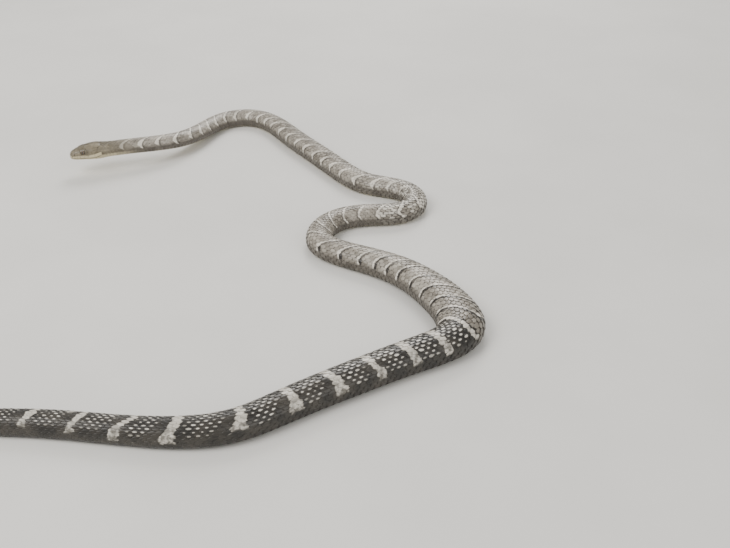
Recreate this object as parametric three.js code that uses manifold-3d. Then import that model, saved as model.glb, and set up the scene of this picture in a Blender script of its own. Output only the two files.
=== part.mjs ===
// A king cobra lying at ease: a still, life-size model.
// Millimetres, +Z up. The origin is on the floor, at the middle of the animal's footprint.
import * as THREE from 'three';
import { mergeVertices } from 'three/addons/utils/BufferGeometryUtils.js';
import Module from 'manifold-3d';

const wasm = await Module();
wasm.setup();

// Driving sizes
const GAP = 0.3;            // clear space between pieces that touch
const HEAD_LENGTH = 88;     // snout tip to the joint with the neck
const NECK_LIFT = 30;       // how far the head is held off the floor
const LIFT_RUN = 330;       // length of neck over which it rises to that
const SCUTE_COUNT = 100;    // belly scutes, about a third of the real number
const SCUTE_STEP = 0.6;     // how far each scute's rear edge stands down
const SCUTE_FLAT = 0.5;     // share of a scute that is flat before it tucks under the next
const PLATE_RAISE = 0.5;    // height of the head shields
const BROW_RAISE = 1.3;     // height of the shield over each eye
const PLATE_INSET = 0.25;   // half the groove between two shields
const EYE_RADIUS = 4.5;
const EYE_SUNK = 2.8;       // depth of the eye's centre below the side of the head
const EYE_PLACE = [25, 0.62];
const NOSTRIL_PLACE = [8.4, 0.64];
const NOSTRIL_SIZE = [1.5, 1.2, 1.1];
const MOUTH_CORNER = 60;    // from the snout tip back to the corner of the mouth
const BODY_SIDES = 20;
const HEAD_SIDES = 22;

// The route of the body on the floor, tail tip first: the corners that a cubic B-spline rounds off.
const ROUTE = [
  [-661, -277], [-578, -318], [-501, -373], [-418, -435], [-319, -487], [-205, -508], [-86, -522],
  [38, -522], [162, -545], [287, -550], [364, -487], [452, -431], [537, -375], [631, -325], [621, -241],
  [543, -120], [446, -73], [384, -34], [395, 47], [461, 86], [536, 77], [578, 127], [556, 190],
  [478, 203], [438, 248], [383, 339], [320, 428], [270, 524], [211, 558], [147, 532], [121, 456],
  [88, 384], [25, 344], [-39, 320],
];

// Share of the way from tail tip to head joint, width there, and height over width.
// The body is broadest and flattest where it lies in its main bend.
const GIRTH = [
  [0, 3, 0.95], [0.03, 9, 0.9], [0.07, 17.5, 0.86], [0.145, 29.5, 0.8], [0.205, 38.5, 0.78],
  [0.245, 42.5, 0.77], [0.285, 45, 0.76], [0.335, 52, 0.74], [0.39, 57, 0.74], [0.44, 62, 0.7],
  [0.465, 69, 0.62], [0.485, 79, 0.54], [0.505, 76, 0.555], [0.54, 63, 0.645], [0.58, 53, 0.72],
  [0.635, 48, 0.75], [0.695, 47, 0.75], [0.755, 50, 0.74], [0.82, 49, 0.74], [0.88, 45, 0.75],
  [0.94, 40, 0.77], [0.98, 37, 0.79], [1, 36, 0.8],
];
const BODY_WIDEST = 0.4;    // level of the broadest place, as a share of the height
const BELLY_ANGLE = 125;    // degrees from the top of the back beyond which the scutes lie
const BACK_POWER = 2;       // 2 is an ellipse, more is squarer
const BELLY_POWER = 2.8;
const BELLY_SINK = 0.5;     // how far the round belly is pressed flat

// The lengths that the body is parted into, by the scute at which each one ends.
const LENGTHS = [
  ['tail_tip', 11], ['tail_base', 20], ['body_01', 29], ['body_02', 36], ['body_03', 43],
  ['body_04', 48], ['body_05', 53], ['body_06', 58], ['body_07', 62], ['body_08', 66],
  ['body_09', 70], ['body_10', 75], ['body_11', 81], ['body_12', 86], ['body_13', 90], ['neck', 100],
];

// The head: distance behind the snout tip, half width, top, underside, level of the broadest
// place, and the powers of the upper and lower halves of the section.
const HEAD_FORM = [
  [0, 4, 12.4, 7.2, 9.6, 2.2, 2.2], [1.2, 6.8, 15.2, 5.3, 9.5, 2.3, 2.2],
  [3, 9, 17.6, 4.2, 9.5, 2.4, 2.3], [6, 11.1, 19.8, 3.3, 9.5, 2.5, 2.3],
  [10, 12.9, 21.6, 2.8, 9.6, 2.6, 2.4], [16, 14.8, 23.8, 2.4, 10, 2.8, 2.4],
  [24, 17, 26.2, 1.9, 10.6, 2.9, 2.4], [34, 19.9, 28.4, 1.2, 11.4, 2.7, 2.4],
  [44, 22.3, 29.8, 0.6, 12, 2.5, 2.5], [54, 23.2, 30.4, 0.2, 12.2, 2.3, 2.6],
  [64, 22.2, 30.2, 0, 12.1, 2.2, 2.7], [76, 19.4, 29.3, 0, 11.8, 2.1, 2.8],
  [88, 18, 28.8, 0, 11.5, 2, 2.8],
];
// The line of the mouth: distance behind the snout tip, and level.
const MOUTH = [[-4, 9.4], [0, 9.2], [3, 8.5], [10, 8], [24, 7.6], [36, 7.6], [46, 8.6], [54, 10.6], [61, 13]];

// Head shields, each an outline of [distance behind the snout, place round the section], where
// 0 is the midline of the crown, 1 the mouth, and 2 the midline of the throat. Pairs are mirrored.
const CROWN_PAIRS = {
  internasal: [[2.4, 0], [3.4, 0.4], [8, 0.48], [10, 0.3], [10.5, 0]],
  prefrontal: [[10.5, 0], [10, 0.3], [8, 0.48], [13.5, 0.52], [18.5, 0.46], [19.5, 0.25], [18.5, 0]],
  parietal: [[33.5, 0], [31, 0.12], [31.5, 0.36], [33.5, 0.46], [40, 0.46], [47, 0.38], [49.5, 0.16], [48.5, 0]],
  occipital: [[48.5, 0], [49.5, 0.16], [47, 0.38], [54, 0.42], [60, 0.34], [61.5, 0.16], [61, 0]],
};
const BROW = [[19.5, 0.25], [18.5, 0.46], [21.5, 0.5], [29.5, 0.5], [31.5, 0.36], [31, 0.12], [26, 0.2]];
const CHEEK_PAIRS = {
  frontNasal: [[3.4, 0.4], [3.6, 0.78], [8.6, 0.76], [8, 0.48]],
  rearNasal: [[8, 0.48], [8.6, 0.76], [13, 0.76], [14.2, 0.62], [13.5, 0.52]],
  preocular: [[13.5, 0.52], [14.2, 0.62], [13, 0.76], [16, 0.78], [20.3, 0.74], [20.3, 0.54], [18.5, 0.46]],
  upperPostocular: [[29.5, 0.5], [31.5, 0.36], [33.5, 0.46], [34, 0.62], [30, 0.62]],
  lowerPostocular: [[30, 0.62], [34, 0.62], [34, 0.78], [28.5, 0.79]],
  upperFrontTemporal: [[33.5, 0.46], [40, 0.46], [42.5, 0.5], [42, 0.62], [34, 0.62]],
  lowerFrontTemporal: [[34, 0.62], [42, 0.62], [42.5, 0.77], [34, 0.78]],
  upperRearTemporal: [[40, 0.46], [47, 0.38], [54, 0.42], [53, 0.58], [42.2, 0.57]],
  lowerRearTemporal: [[42.2, 0.59], [53, 0.58], [52, 0.77], [42.5, 0.77]],
};
const FRONTAL = [
  [18.5, 0], [19.5, 0.25], [26, 0.2], [31, 0.12], [33.5, 0], [31, -0.12], [26, -0.2], [19.5, -0.25],
];
const ROSTRAL = [
  [2.2, 0], [3.2, 0.4], [3.3, 0.94], [1.4, 0.94], [0, 0.94], [0, -0.94], [1.4, -0.94], [3.3, -0.94], [3.2, -0.4],
];
const MENTAL = [
  [0, 1.1], [2.2, 1.08], [3, 1.35], [4.2, 1.6], [4.6, 2], [4.2, 2.4], [3, 2.65], [2.2, 2.92], [0, 2.9],
];
const CHIN_PAIRS = {
  frontChin: [[4.9, 1.99], [4.6, 1.62], [9, 1.42], [17, 1.42], [19, 1.64], [19, 1.99]],
  rearChin: [[19.4, 1.96], [19.4, 1.64], [17.8, 1.42], [27, 1.44], [31, 1.66], [30, 1.92]],
};
// Where the lip shields meet, behind the snout tip, and the band that each row fills.
const UPPER_LIP = { seams: [3.5, 8, 12.5, 18.5, 26, 35, 45, 57], band: [0.79, 0.95] };
const LOWER_LIP = { seams: [2.6, 7, 12, 19, 28, 38, 48, 58], band: [1.07, 1.34] };

// Colours of the animal: dark rear half, grey-brown front half and head
const skin = (colour) => new THREE.MeshStandardMaterial({ color: colour, roughness: 0.45, metalness: 0 });
const rearSkin = skin(0x2f2e2a);
const frontSkin = skin(0x857c6e);
const headSkin = skin(0x7a6f5c);
const eyeFinish = new THREE.MeshStandardMaterial({ color: 0x2a1a0c, roughness: 0.08, metalness: 0 });

const cobra = new THREE.Group();

// A smooth curve through a table's rows that never overshoots them.
function smoothTable(rows, column, x) {
  const last = rows.length - 1;
  const slope = (i) => (rows[i + 1][column] - rows[i][column]) / (rows[i + 1][0] - rows[i][0]);
  const tangent = (i) => {
    if (i === 0) return slope(0);
    if (i === last) return slope(last - 1);
    const before = slope(i - 1);
    const after = slope(i);
    return before * after <= 0 ? 0 : (2 * before * after) / (before + after);
  };
  if (x <= rows[0][0]) return rows[0][column];
  if (x >= rows[last][0]) return rows[last][column];
  let i = 0;
  while (rows[i + 1][0] < x) i += 1;
  const run = rows[i + 1][0] - rows[i][0];
  const u = (x - rows[i][0]) / run;
  return rows[i][column] * (1 + 2 * u) * (1 - u) ** 2 + tangent(i) * run * u * (1 - u) ** 2
    + rows[i + 1][column] * u * u * (3 - 2 * u) - tangent(i + 1) * run * u * u * (1 - u);
}

// The route as a curve with its length measured, tail tip to head joint.
const STEPS_PER_SPAN = 24;
const routeEnds = ROUTE.length - 1;
function routeCorner(i) {
  const [x, y] = ROUTE[Math.min(Math.max(i, 0), routeEnds)];
  if (i < 0) return [2 * x - ROUTE[1][0], 2 * y - ROUTE[1][1]];
  if (i > routeEnds) return [2 * x - ROUTE[routeEnds - 1][0], 2 * y - ROUTE[routeEnds - 1][1]];
  return [x, y];
}
function routePoint(u) {
  const span = Math.min(Math.floor(u), routeEnds - 1);
  const f = u - span;
  const weights = [(1 - f) ** 3, 3 * f ** 3 - 6 * f * f + 4, -3 * f ** 3 + 3 * f * f + 3 * f + 1, f ** 3];
  const point = new THREE.Vector2();
  weights.forEach((weight, k) => {
    const [x, y] = routeCorner(span - 1 + k);
    point.x += (x * weight) / 6;
    point.y += (y * weight) / 6;
  });
  return point;
}
const routeLengths = [0];
for (let k = 1; k <= routeEnds * STEPS_PER_SPAN; k += 1) {
  const here = routePoint(k / STEPS_PER_SPAN);
  const before = routePoint((k - 1) / STEPS_PER_SPAN);
  routeLengths.push(routeLengths[k - 1] + here.distanceTo(before));
}
const BODY_LENGTH = routeLengths[routeLengths.length - 1];

function pointOnRoute(s) {
  let k = 1;
  while (k < routeLengths.length - 1 && routeLengths[k] < s) k += 1;
  const f = (s - routeLengths[k - 1]) / (routeLengths[k] - routeLengths[k - 1]);
  return routePoint((k - 1 + Math.min(Math.max(f, 0), 1)) / STEPS_PER_SPAN);
}
function liftAt(s) {
  const u = THREE.MathUtils.clamp((s - (BODY_LENGTH - LIFT_RUN)) / LIFT_RUN, 0, 1);
  return NECK_LIFT * u * u * (3 - 2 * u);
}

// Place, heading, left and up of the body at a distance from the tail tip.
function frameAt(s) {
  const reach = 1;
  const rear = Math.max(s - reach, 0);
  const fore = Math.min(s + reach, BODY_LENGTH);
  const a = pointOnRoute(rear);
  const b = pointOnRoute(fore);
  const here = pointOnRoute(s);
  const ahead = new THREE.Vector3(b.x - a.x, b.y - a.y, liftAt(fore) - liftAt(rear)).normalize();
  const left = new THREE.Vector3(-ahead.y, ahead.x, 0).normalize();
  const up = new THREE.Vector3().crossVectors(ahead, left);
  return { place: new THREE.Vector3(here.x, here.y, liftAt(s)), ahead, left, up };
}

// One point of a section that is a squared ellipse above and below its broadest level.
// The angle is counted from the top, positive to the left.
function sectionPoint(form, angle) {
  const { half, top, bottom, widest, upper, lower } = form;
  const sine = Math.sin(angle);
  const cosine = Math.cos(angle);
  const power = cosine >= 0 ? upper : lower;
  const side = half * Math.sign(sine) * Math.abs(sine) ** (2 / power);
  const rise = Math.abs(cosine) ** (2 / power);
  return [side, cosine >= 0 ? widest + (top - widest) * rise : widest - (widest - bottom) * rise];
}

// Closes a stack of equal rings with a fan at each end.
function loft(rings) {
  const sides = rings[0].length;
  const positions = rings.flat().flatMap((p) => [p.x, p.y, p.z]);
  const triangles = [];
  for (let r = 0; r + 1 < rings.length; r += 1) {
    for (let k = 0; k < sides; k += 1) {
      const a = r * sides + k;
      const b = r * sides + ((k + 1) % sides);
      triangles.push([a, a + sides, b], [b, a + sides, b + sides]);
    }
  }
  for (const [ring, inward] of [[0, false], [rings.length - 1, true]]) {
    const centre = new THREE.Vector3();
    rings[ring].forEach((p) => centre.addScaledVector(p, 1 / sides));
    const middle = positions.length / 3;
    positions.push(centre.x, centre.y, centre.z);
    for (let k = 0; k < sides; k += 1) {
      const a = ring * sides + k;
      const b = ring * sides + ((k + 1) % sides);
      triangles.push(inward ? [b, a, middle] : [a, b, middle]);
    }
  }
  return closedGeometry(positions, triangles);
}

// A geometry whose equal corners are one vertex, and whose empty triangles are gone.
function closedGeometry(positions, triangles) {
  const loose = new THREE.BufferGeometry();
  loose.setAttribute('position', new THREE.Float32BufferAttribute(positions, 3));
  loose.setIndex(triangles.flat());
  const merged = mergeVertices(loose, 1e-4);
  const index = merged.index.array;
  const kept = [];
  for (let i = 0; i < index.length; i += 3) {
    const [a, b, c] = [index[i], index[i + 1], index[i + 2]];
    if (a !== b && b !== c && c !== a) kept.push(a, b, c);
  }
  merged.setIndex(kept);
  merged.computeVertexNormals();
  return merged;
}

// The body's section at a distance from the tail tip, with its scute drawn down by a share of the step.
function bodyRing(s, scuteShare) {
  const { place, left, up } = frameAt(s);
  const share = s / BODY_LENGTH;
  const width = smoothTable(GIRTH, 1, share);
  const height = width * smoothTable(GIRTH, 2, share);
  const step = SCUTE_STEP * Math.min(1, width / 20);
  const form = {
    half: width / 2, top: height, bottom: -BELLY_SINK * Math.min(1, width / 20),
    widest: height * BODY_WIDEST, upper: BACK_POWER, lower: BELLY_POWER,
  };
  const drawn = step * scuteShare;
  const scute = { ...form, half: form.half + drawn, bottom: form.bottom - drawn };
  const ring = [];
  for (let k = 0; k < BODY_SIDES; k += 1) {
    const angle = (k / BODY_SIDES) * 2 * Math.PI;
    const onBelly = Math.cos(angle) < Math.cos(THREE.MathUtils.degToRad(BELLY_ANGLE));
    const [side, rise] = sectionPoint(onBelly ? scute : form, angle);
    const level = Math.max(rise, step - drawn);
    ring.push(place.clone().addScaledVector(left, side).addScaledVector(up, level));
  }
  return ring;
}

// One length of the body, from one scute to another, with half the gap kept at each end.
function bodyLength(firstScute, endScute) {
  const pitch = BODY_LENGTH / SCUTE_COUNT;
  const rings = [];
  for (let scute = firstScute; scute < endScute; scute += 1) {
    const rear = scute * pitch + (scute === firstScute && scute > 0 ? GAP / 2 : 0);
    const front = (scute + 1) * pitch - (scute + 1 === endScute ? GAP / 2 : 0);
    rings.push(bodyRing(rear, 1), bodyRing(scute * pitch + pitch * SCUTE_FLAT, 1), bodyRing(front, 0));
  }
  return loft(rings);
}

function addNode(parent, name, geometry, material) {
  const node = new THREE.Mesh(geometry, material);
  node.name = name;
  parent.add(node);
}

let firstScute = 0;
for (const [name, endScute] of LENGTHS) {
  const middle = (firstScute + endScute) / 2 / SCUTE_COUNT;
  addNode(cobra, name, bodyLength(firstScute, endScute), middle < 0.5 ? rearSkin : frontSkin);
  firstScute = endScute;
}

// The head is shaped along X from its joint, with Y to its left, then set at the end of the neck.
function solid(geometry) {
  const bare = geometry.clone();
  bare.deleteAttribute('normal');
  bare.deleteAttribute('uv');
  const merged = mergeVertices(bare, 1e-4);
  return new wasm.Manifold(new wasm.Mesh({
    numProp: 3,
    vertProperties: new Float32Array(merged.attributes.position.array),
    triVerts: new Uint32Array(merged.index.array),
  }));
}
function largestPiece(manifold) {
  return manifold.decompose().sort((a, b) => b.volume() - a.volume())[0];
}
function geometryOf(manifold) {
  const mesh = largestPiece(manifold).getMesh();
  const geometry = new THREE.BufferGeometry();
  geometry.setAttribute('position', new THREE.Float32BufferAttribute(mesh.vertProperties, 3));
  geometry.setIndex(Array.from(mesh.triVerts));
  geometry.computeVertexNormals();
  return geometry;
}

function headFormAt(t, grow = 0) {
  const column = (k) => smoothTable(HEAD_FORM, k, t);
  return {
    half: column(1) + grow, top: column(2) + grow, bottom: column(3) - grow,
    widest: column(4), upper: column(5), lower: column(6),
  };
}
function mouthAngle(t) {
  const form = headFormAt(t);
  const drop = (form.widest - smoothTable(MOUTH, 1, t)) / (form.widest - form.bottom);
  return drop <= 0 ? Math.PI / 2 : Math.PI - Math.acos(Math.min(drop, 1) ** (form.lower / 2));
}
function angleOf(t, girth) {
  const g = Math.abs(girth);
  const mouth = mouthAngle(t);
  if (g > 2) return 2 * Math.PI - angleOf(t, 4 - g);
  const angle = g <= 1 ? g * mouth : mouth + (g - 1) * (Math.PI - mouth);
  return Math.sign(girth) * angle;
}
function headPoint(t, girth) {
  const [side, rise] = sectionPoint(headFormAt(t), angleOf(t, girth));
  return new THREE.Vector3(HEAD_LENGTH - t, side, rise);
}

const SNOUT_ROUNDING = 8;   // the stretch of snout over which the growth turns forward
const HEAD_RINGS = [88, 78, 69, 61, 54, 46, 38, 31, 25, 19, 14, 10, 7, 4.4, 2.4, 1, 0];
function wholeHead(grow) {
  const rings = HEAD_RINGS.map((t) => {
    const form = headFormAt(t, grow);
    const forward = grow * Math.max(0, 1 - t / SNOUT_ROUNDING);
    const start = t === HEAD_LENGTH ? GAP / 2 : 0;
    const ring = [];
    for (let k = 0; k < HEAD_SIDES; k += 1) {
      const [side, rise] = sectionPoint(form, (k / HEAD_SIDES) * 2 * Math.PI);
      ring.push(new THREE.Vector3(HEAD_LENGTH - t + forward + start, side, rise));
    }
    return ring;
  });
  return solid(loft(rings));
}

// A wedge that runs outward from the core of the head through a shield's outline.
const CORE_FRONT = 9;
function shieldWedge(outline) {
  const points = outline.map(([t, girth]) => headPoint(t, girth));
  const centre = new THREE.Vector3();
  points.forEach((p) => centre.addScaledVector(p, 1 / points.length));
  const inner = [];
  const outer = [];
  points.forEach((p, k) => {
    const pull = centre.clone().sub(p).normalize().multiplyScalar(PLATE_INSET);
    const edge = p.clone().add(pull);
    const t = Math.max(outline[k][0], CORE_FRONT);
    const core = new THREE.Vector3(HEAD_LENGTH - t, 0, headFormAt(t).widest);
    const ray = edge.sub(core);
    inner.push(core.clone().addScaledVector(ray, 0.6));
    outer.push(core.clone().addScaledVector(ray, 1.9));
  });
  const wedge = solid(loft([inner, outer]));
  return wedge.volume() > 0 ? wedge : solid(loft([outer, inner]));
}
const mirrored = (outline) => outline.map(([t, girth]) => [t, -girth]).reverse();
const bothSides = (outlines) => outlines.flatMap((outline) => [outline, mirrored(outline)]);
function lipShields({ seams, band }) {
  const [top, bottom] = band;
  return seams.slice(1).map((rear, k) => {
    const front = seams[k];
    return [[front, bottom], [front + 0.3, top], [rear + 0.3, top], [rear, bottom]];
  });
}

const smoothHead = wholeHead(0);
const raisedHead = wholeHead(PLATE_RAISE);
const browHead = wholeHead(BROW_RAISE);
const shieldOutlines = [
  FRONTAL, ROSTRAL, MENTAL,
  ...bothSides(Object.values(CROWN_PAIRS)),
  ...bothSides(Object.values(CHEEK_PAIRS)),
  ...bothSides(Object.values(CHIN_PAIRS)),
  ...bothSides(lipShields(UPPER_LIP)),
  ...bothSides(lipShields(LOWER_LIP)),
];
let shieldedHead = smoothHead;
for (const outline of shieldOutlines) {
  shieldedHead = shieldedHead.add(raisedHead.intersect(shieldWedge(outline)));
}
for (const outline of bothSides([BROW])) {
  shieldedHead = shieldedHead.add(browHead.intersect(shieldWedge(outline)));
}

// Eyes in their sockets, and the nostrils
function ball(radius, centre) {
  const geometry = new THREE.IcosahedronGeometry(radius, 2).translate(...centre);
  geometry.deleteAttribute('normal');
  geometry.deleteAttribute('uv');
  const merged = mergeVertices(geometry, 1e-4);
  merged.computeVertexNormals();
  return merged;
}
const headGroup = new THREE.Group();
const eyeSurface = headPoint(...EYE_PLACE);
const nostrilPoint = headPoint(...NOSTRIL_PLACE);
for (const [name, side] of [['eye_left', 1], ['eye_right', -1]]) {
  const centre = [eyeSurface.x, side * (eyeSurface.y - EYE_SUNK), eyeSurface.z];
  const pit = new THREE.SphereGeometry(1, 10, 8).scale(...NOSTRIL_SIZE);
  pit.translate(nostrilPoint.x, side * nostrilPoint.y, nostrilPoint.z);
  shieldedHead = shieldedHead.subtract(solid(ball(EYE_RADIUS + GAP, centre))).subtract(solid(pit));
  addNode(headGroup, name, ball(EYE_RADIUS, centre), eyeFinish);
}

// The lower jaw is what lies below the line of the mouth and ahead of its corner.
const PAST_HEAD = 40;
function belowMouth(shift) {
  const outline = new THREE.Shape();
  outline.moveTo(HEAD_LENGTH + PAST_HEAD, -PAST_HEAD);
  outline.lineTo(HEAD_LENGTH + PAST_HEAD, smoothTable(MOUTH, 1, 0) + shift);
  for (let t = -4; t < MOUTH_CORNER; t += 4) {
    outline.lineTo(HEAD_LENGTH - t, smoothTable(MOUTH, 1, t) + shift);
  }
  outline.lineTo(HEAD_LENGTH - MOUTH_CORNER - shift, smoothTable(MOUTH, 1, MOUTH_CORNER) + shift);
  outline.lineTo(HEAD_LENGTH - MOUTH_CORNER - shift, -PAST_HEAD);
  const block = new THREE.ExtrudeGeometry(outline, { depth: 2 * PAST_HEAD, bevelEnabled: false });
  return solid(block.rotateX(Math.PI / 2).translate(0, PAST_HEAD, 0));
}
addNode(headGroup, 'head', geometryOf(shieldedHead.subtract(belowMouth(GAP / 2))), headSkin);
addNode(headGroup, 'lower_jaw', geometryOf(shieldedHead.intersect(belowMouth(-GAP / 2))), headSkin);

const joint = frameAt(BODY_LENGTH);
headGroup.position.copy(joint.place);
headGroup.rotation.z = Math.atan2(joint.ahead.y, joint.ahead.x);
cobra.add(headGroup);

export default cobra;
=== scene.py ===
"""A king cobra lying at ease, life size: its skin, scales, head shields and eyes.

All sizes are millimetres until a mesh is made, and metres from then on. The animal is measured
by s, the distance from the tail tip along its middle line, and by the angle round its section,
counted from the top of the back and positive to the left.
"""
import math

import bpy
import numpy as np
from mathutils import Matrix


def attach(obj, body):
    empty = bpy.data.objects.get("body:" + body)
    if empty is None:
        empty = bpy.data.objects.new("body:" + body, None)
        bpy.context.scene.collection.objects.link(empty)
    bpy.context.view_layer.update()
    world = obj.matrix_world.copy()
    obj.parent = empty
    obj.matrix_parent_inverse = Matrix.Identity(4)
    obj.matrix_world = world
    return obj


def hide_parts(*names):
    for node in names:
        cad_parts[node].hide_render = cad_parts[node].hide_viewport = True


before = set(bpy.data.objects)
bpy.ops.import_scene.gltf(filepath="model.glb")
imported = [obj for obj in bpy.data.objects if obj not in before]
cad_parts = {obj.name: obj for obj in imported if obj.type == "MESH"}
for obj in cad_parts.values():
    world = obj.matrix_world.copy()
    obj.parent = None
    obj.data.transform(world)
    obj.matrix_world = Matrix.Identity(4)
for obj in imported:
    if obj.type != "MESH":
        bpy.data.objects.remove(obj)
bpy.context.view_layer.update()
chance = np.random.default_rng(31)
MM = 0.001

# Sizes shared with the solids
HEAD_LENGTH = 88.0
NECK_LIFT = 30.0
LIFT_RUN = 330.0
BODY_WIDEST = 0.4
BELLY_ANGLE = math.radians(125)
BACK_POWER = 2.0
BELLY_POWER = 2.8
BELLY_SINK = 0.5
EYE_RADIUS = 4.5
EYE_SUNK = 2.8
EYE_PLACE = (25, 0.62)
NOSTRIL_PLACE = (8.4, 0.64)
MOUTH_CORNER = 60.0

# The bends on the floor, from the tail tip to the joint of neck and head
ROUTE = [
    (-661, -277), (-578, -318), (-501, -373), (-418, -435), (-319, -487), (-205, -508), (-86, -522),
    (38, -522), (162, -545), (287, -550), (364, -487), (452, -431), (537, -375), (631, -325), (621, -241),
    (543, -120), (446, -73), (384, -34), (395, 47), (461, 86), (536, 77), (578, 127), (556, 190),
    (478, 203), (438, 248), (383, 339), (320, 428), (270, 524), (211, 558), (147, 532), (121, 456),
    (88, 384), (25, 344), (-39, 320),
]
# Share of the way from tail tip to head joint, width there, and height over width
GIRTH = [
    (0, 3, 0.95), (0.03, 9, 0.9), (0.07, 17.5, 0.86), (0.145, 29.5, 0.8), (0.205, 38.5, 0.78),
    (0.245, 42.5, 0.77), (0.285, 45, 0.76), (0.335, 52, 0.74), (0.39, 57, 0.74), (0.44, 62, 0.7),
    (0.465, 69, 0.62), (0.485, 79, 0.54), (0.505, 76, 0.555), (0.54, 63, 0.645), (0.58, 53, 0.72),
    (0.635, 48, 0.75), (0.695, 47, 0.75), (0.755, 50, 0.74), (0.82, 49, 0.74), (0.88, 45, 0.75),
    (0.94, 40, 0.77), (0.98, 37, 0.79), (1, 36, 0.8),
]
# Distance behind the snout tip, half width, top, underside, level of the broadest place, and
# the powers of the upper and lower halves of the section
HEAD_FORM = [
    (0, 4, 12.4, 7.2, 9.6, 2.2, 2.2), (1.2, 6.8, 15.2, 5.3, 9.5, 2.3, 2.2),
    (3, 9, 17.6, 4.2, 9.5, 2.4, 2.3), (6, 11.1, 19.8, 3.3, 9.5, 2.5, 2.3),
    (10, 12.9, 21.6, 2.8, 9.6, 2.6, 2.4), (16, 14.8, 23.8, 2.4, 10, 2.8, 2.4),
    (24, 17, 26.2, 1.9, 10.6, 2.9, 2.4), (34, 19.9, 28.4, 1.2, 11.4, 2.7, 2.4),
    (44, 22.3, 29.8, 0.6, 12, 2.5, 2.5), (54, 23.2, 30.4, 0.2, 12.2, 2.3, 2.6),
    (64, 22.2, 30.2, 0, 12.1, 2.2, 2.7), (76, 19.4, 29.3, 0, 11.8, 2.1, 2.8),
    (88, 18, 28.8, 0, 11.5, 2, 2.8),
]
# Distance behind the snout tip, and the level of the line of the mouth
MOUTH = [(-4, 9.4), (0, 9.2), (3, 8.5), (10, 8), (24, 7.6), (36, 7.6), (46, 8.6), (54, 10.6), (61, 13)]
SNOUT_ROUNDING = 3.0        # the stretch of snout that closes in a smooth dome
TAIL_ROUNDING = 5.0         # the bare cone that ends the tail

# Head shields, each an outline of (distance behind the snout, place round the section), where
# 0 is the midline of the crown, 1 the mouth, and 2 the midline of the throat. Pairs are mirrored.
CROWN_PAIRS = {
    "internasal": [(2.4, 0), (3.4, 0.4), (8, 0.48), (10, 0.3), (10.5, 0)],
    "prefrontal": [(10.5, 0), (10, 0.3), (8, 0.48), (13.5, 0.52), (18.5, 0.46), (19.5, 0.25), (18.5, 0)],
    "parietal": [(33.5, 0), (31, 0.12), (31.5, 0.36), (33.5, 0.46), (40, 0.46), (47, 0.38), (49.5, 0.16),
                 (48.5, 0)],
    "occipital": [(48.5, 0), (49.5, 0.16), (47, 0.38), (54, 0.42), (60, 0.34), (61.5, 0.16), (61, 0)],
}
BROW = [(19.5, 0.25), (18.5, 0.46), (20.5, 0.52), (25, 0.58), (29, 0.53), (31.5, 0.36), (31, 0.12),
        (26, 0.2)]
CHEEK_PAIRS = {
    "front_nasal": [(3.4, 0.4), (3.6, 0.785), (8.6, 0.785), (8.4, 0.64), (8, 0.48)],
    "rear_nasal": [(8, 0.48), (8.4, 0.64), (8.6, 0.785), (13, 0.785), (14.2, 0.62), (13.5, 0.52)],
    "preocular": [(13.5, 0.52), (14.2, 0.62), (13, 0.785), (20.4, 0.785), (21.8, 0.75), (23, 0.66),
                  (20.5, 0.52), (18.5, 0.46)],
    "upper_postocular": [(29, 0.53), (31.5, 0.36), (33.5, 0.46), (34, 0.62), (28, 0.64)],
    "lower_postocular": [(28, 0.64), (34, 0.62), (34, 0.785), (30.2, 0.785), (28.8, 0.755), (27, 0.73)],
    "upper_front_temporal": [(33.5, 0.46), (40, 0.46), (42.5, 0.5), (42.3, 0.62), (34, 0.62)],
    "lower_front_temporal": [(34, 0.62), (42.3, 0.62), (42.5, 0.785), (34, 0.785)],
    "upper_rear_temporal": [(40, 0.46), (47, 0.38), (54, 0.42), (53, 0.58), (42.3, 0.58)],
    "lower_rear_temporal": [(42.3, 0.58), (53, 0.58), (52, 0.785), (42.5, 0.785)],
}
FRONTAL = [(18.5, 0), (19.5, 0.25), (26, 0.2), (31, 0.12), (33.5, 0), (31, -0.12), (26, -0.2),
           (19.5, -0.25)]
ROSTRAL = [(2.4, 0), (3.4, 0.4), (3.5, 0.97), (1.4, 0.972), (0.5, 0.975), (0.01, 2), (0.5, -0.975),
           (1.4, -0.972), (3.5, -0.97), (3.4, -0.4)]
MENTAL = [(0.8, 1.055), (2.2, 1.035), (3, 1.35), (4.2, 1.6), (4.6, 2), (4.2, 2.4), (3, 2.65),
          (2.2, 2.965), (0.8, 2.945)]
CHIN_PLACE = 1.37           # the outer edge of the chin shields
CHIN_PAIRS = {
    "front_chin": [(4.9, 1.99), (4.6, 1.62), (7.5, CHIN_PLACE), (17.5, CHIN_PLACE), (19, 1.64), (19, 1.99)],
    "rear_chin": [(19.4, 1.96), (19.4, 1.64), (18, CHIN_PLACE), (27, CHIN_PLACE), (31, 1.66), (30, 1.92)],
}
# Lip shields: the seams between them, and the upper and lower edges of their band
UPPER_LIP = {"seams": [3.5, 8, 12.5, 18.5, 26, 35, 46.5, 60.5], "band": (0.79, 0.978)}
LOWER_LIP = {"seams": [2.6, 7, 12, 19, 28, 38, 49, 64.2], "band": (1.028, 1.34)}
# The upper edge of the upper lip's shields, which goes up to the rim of the eye
LIP_TOP = [(0, 0.79), (20.4, 0.79), (21.8, 0.76), (23, 0.72), (27.5, 0.72), (28.8, 0.76), (30.2, 0.79),
           (60, 0.79)]
SHIELD_RAISE = 0.6
BROW_RAISE = 1.3
SHIELD_SINK = 0.3           # how far the underside of a shield is sunk in the skin
SHIELD_GROOVE = 0.08        # half the groove between two shields
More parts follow.
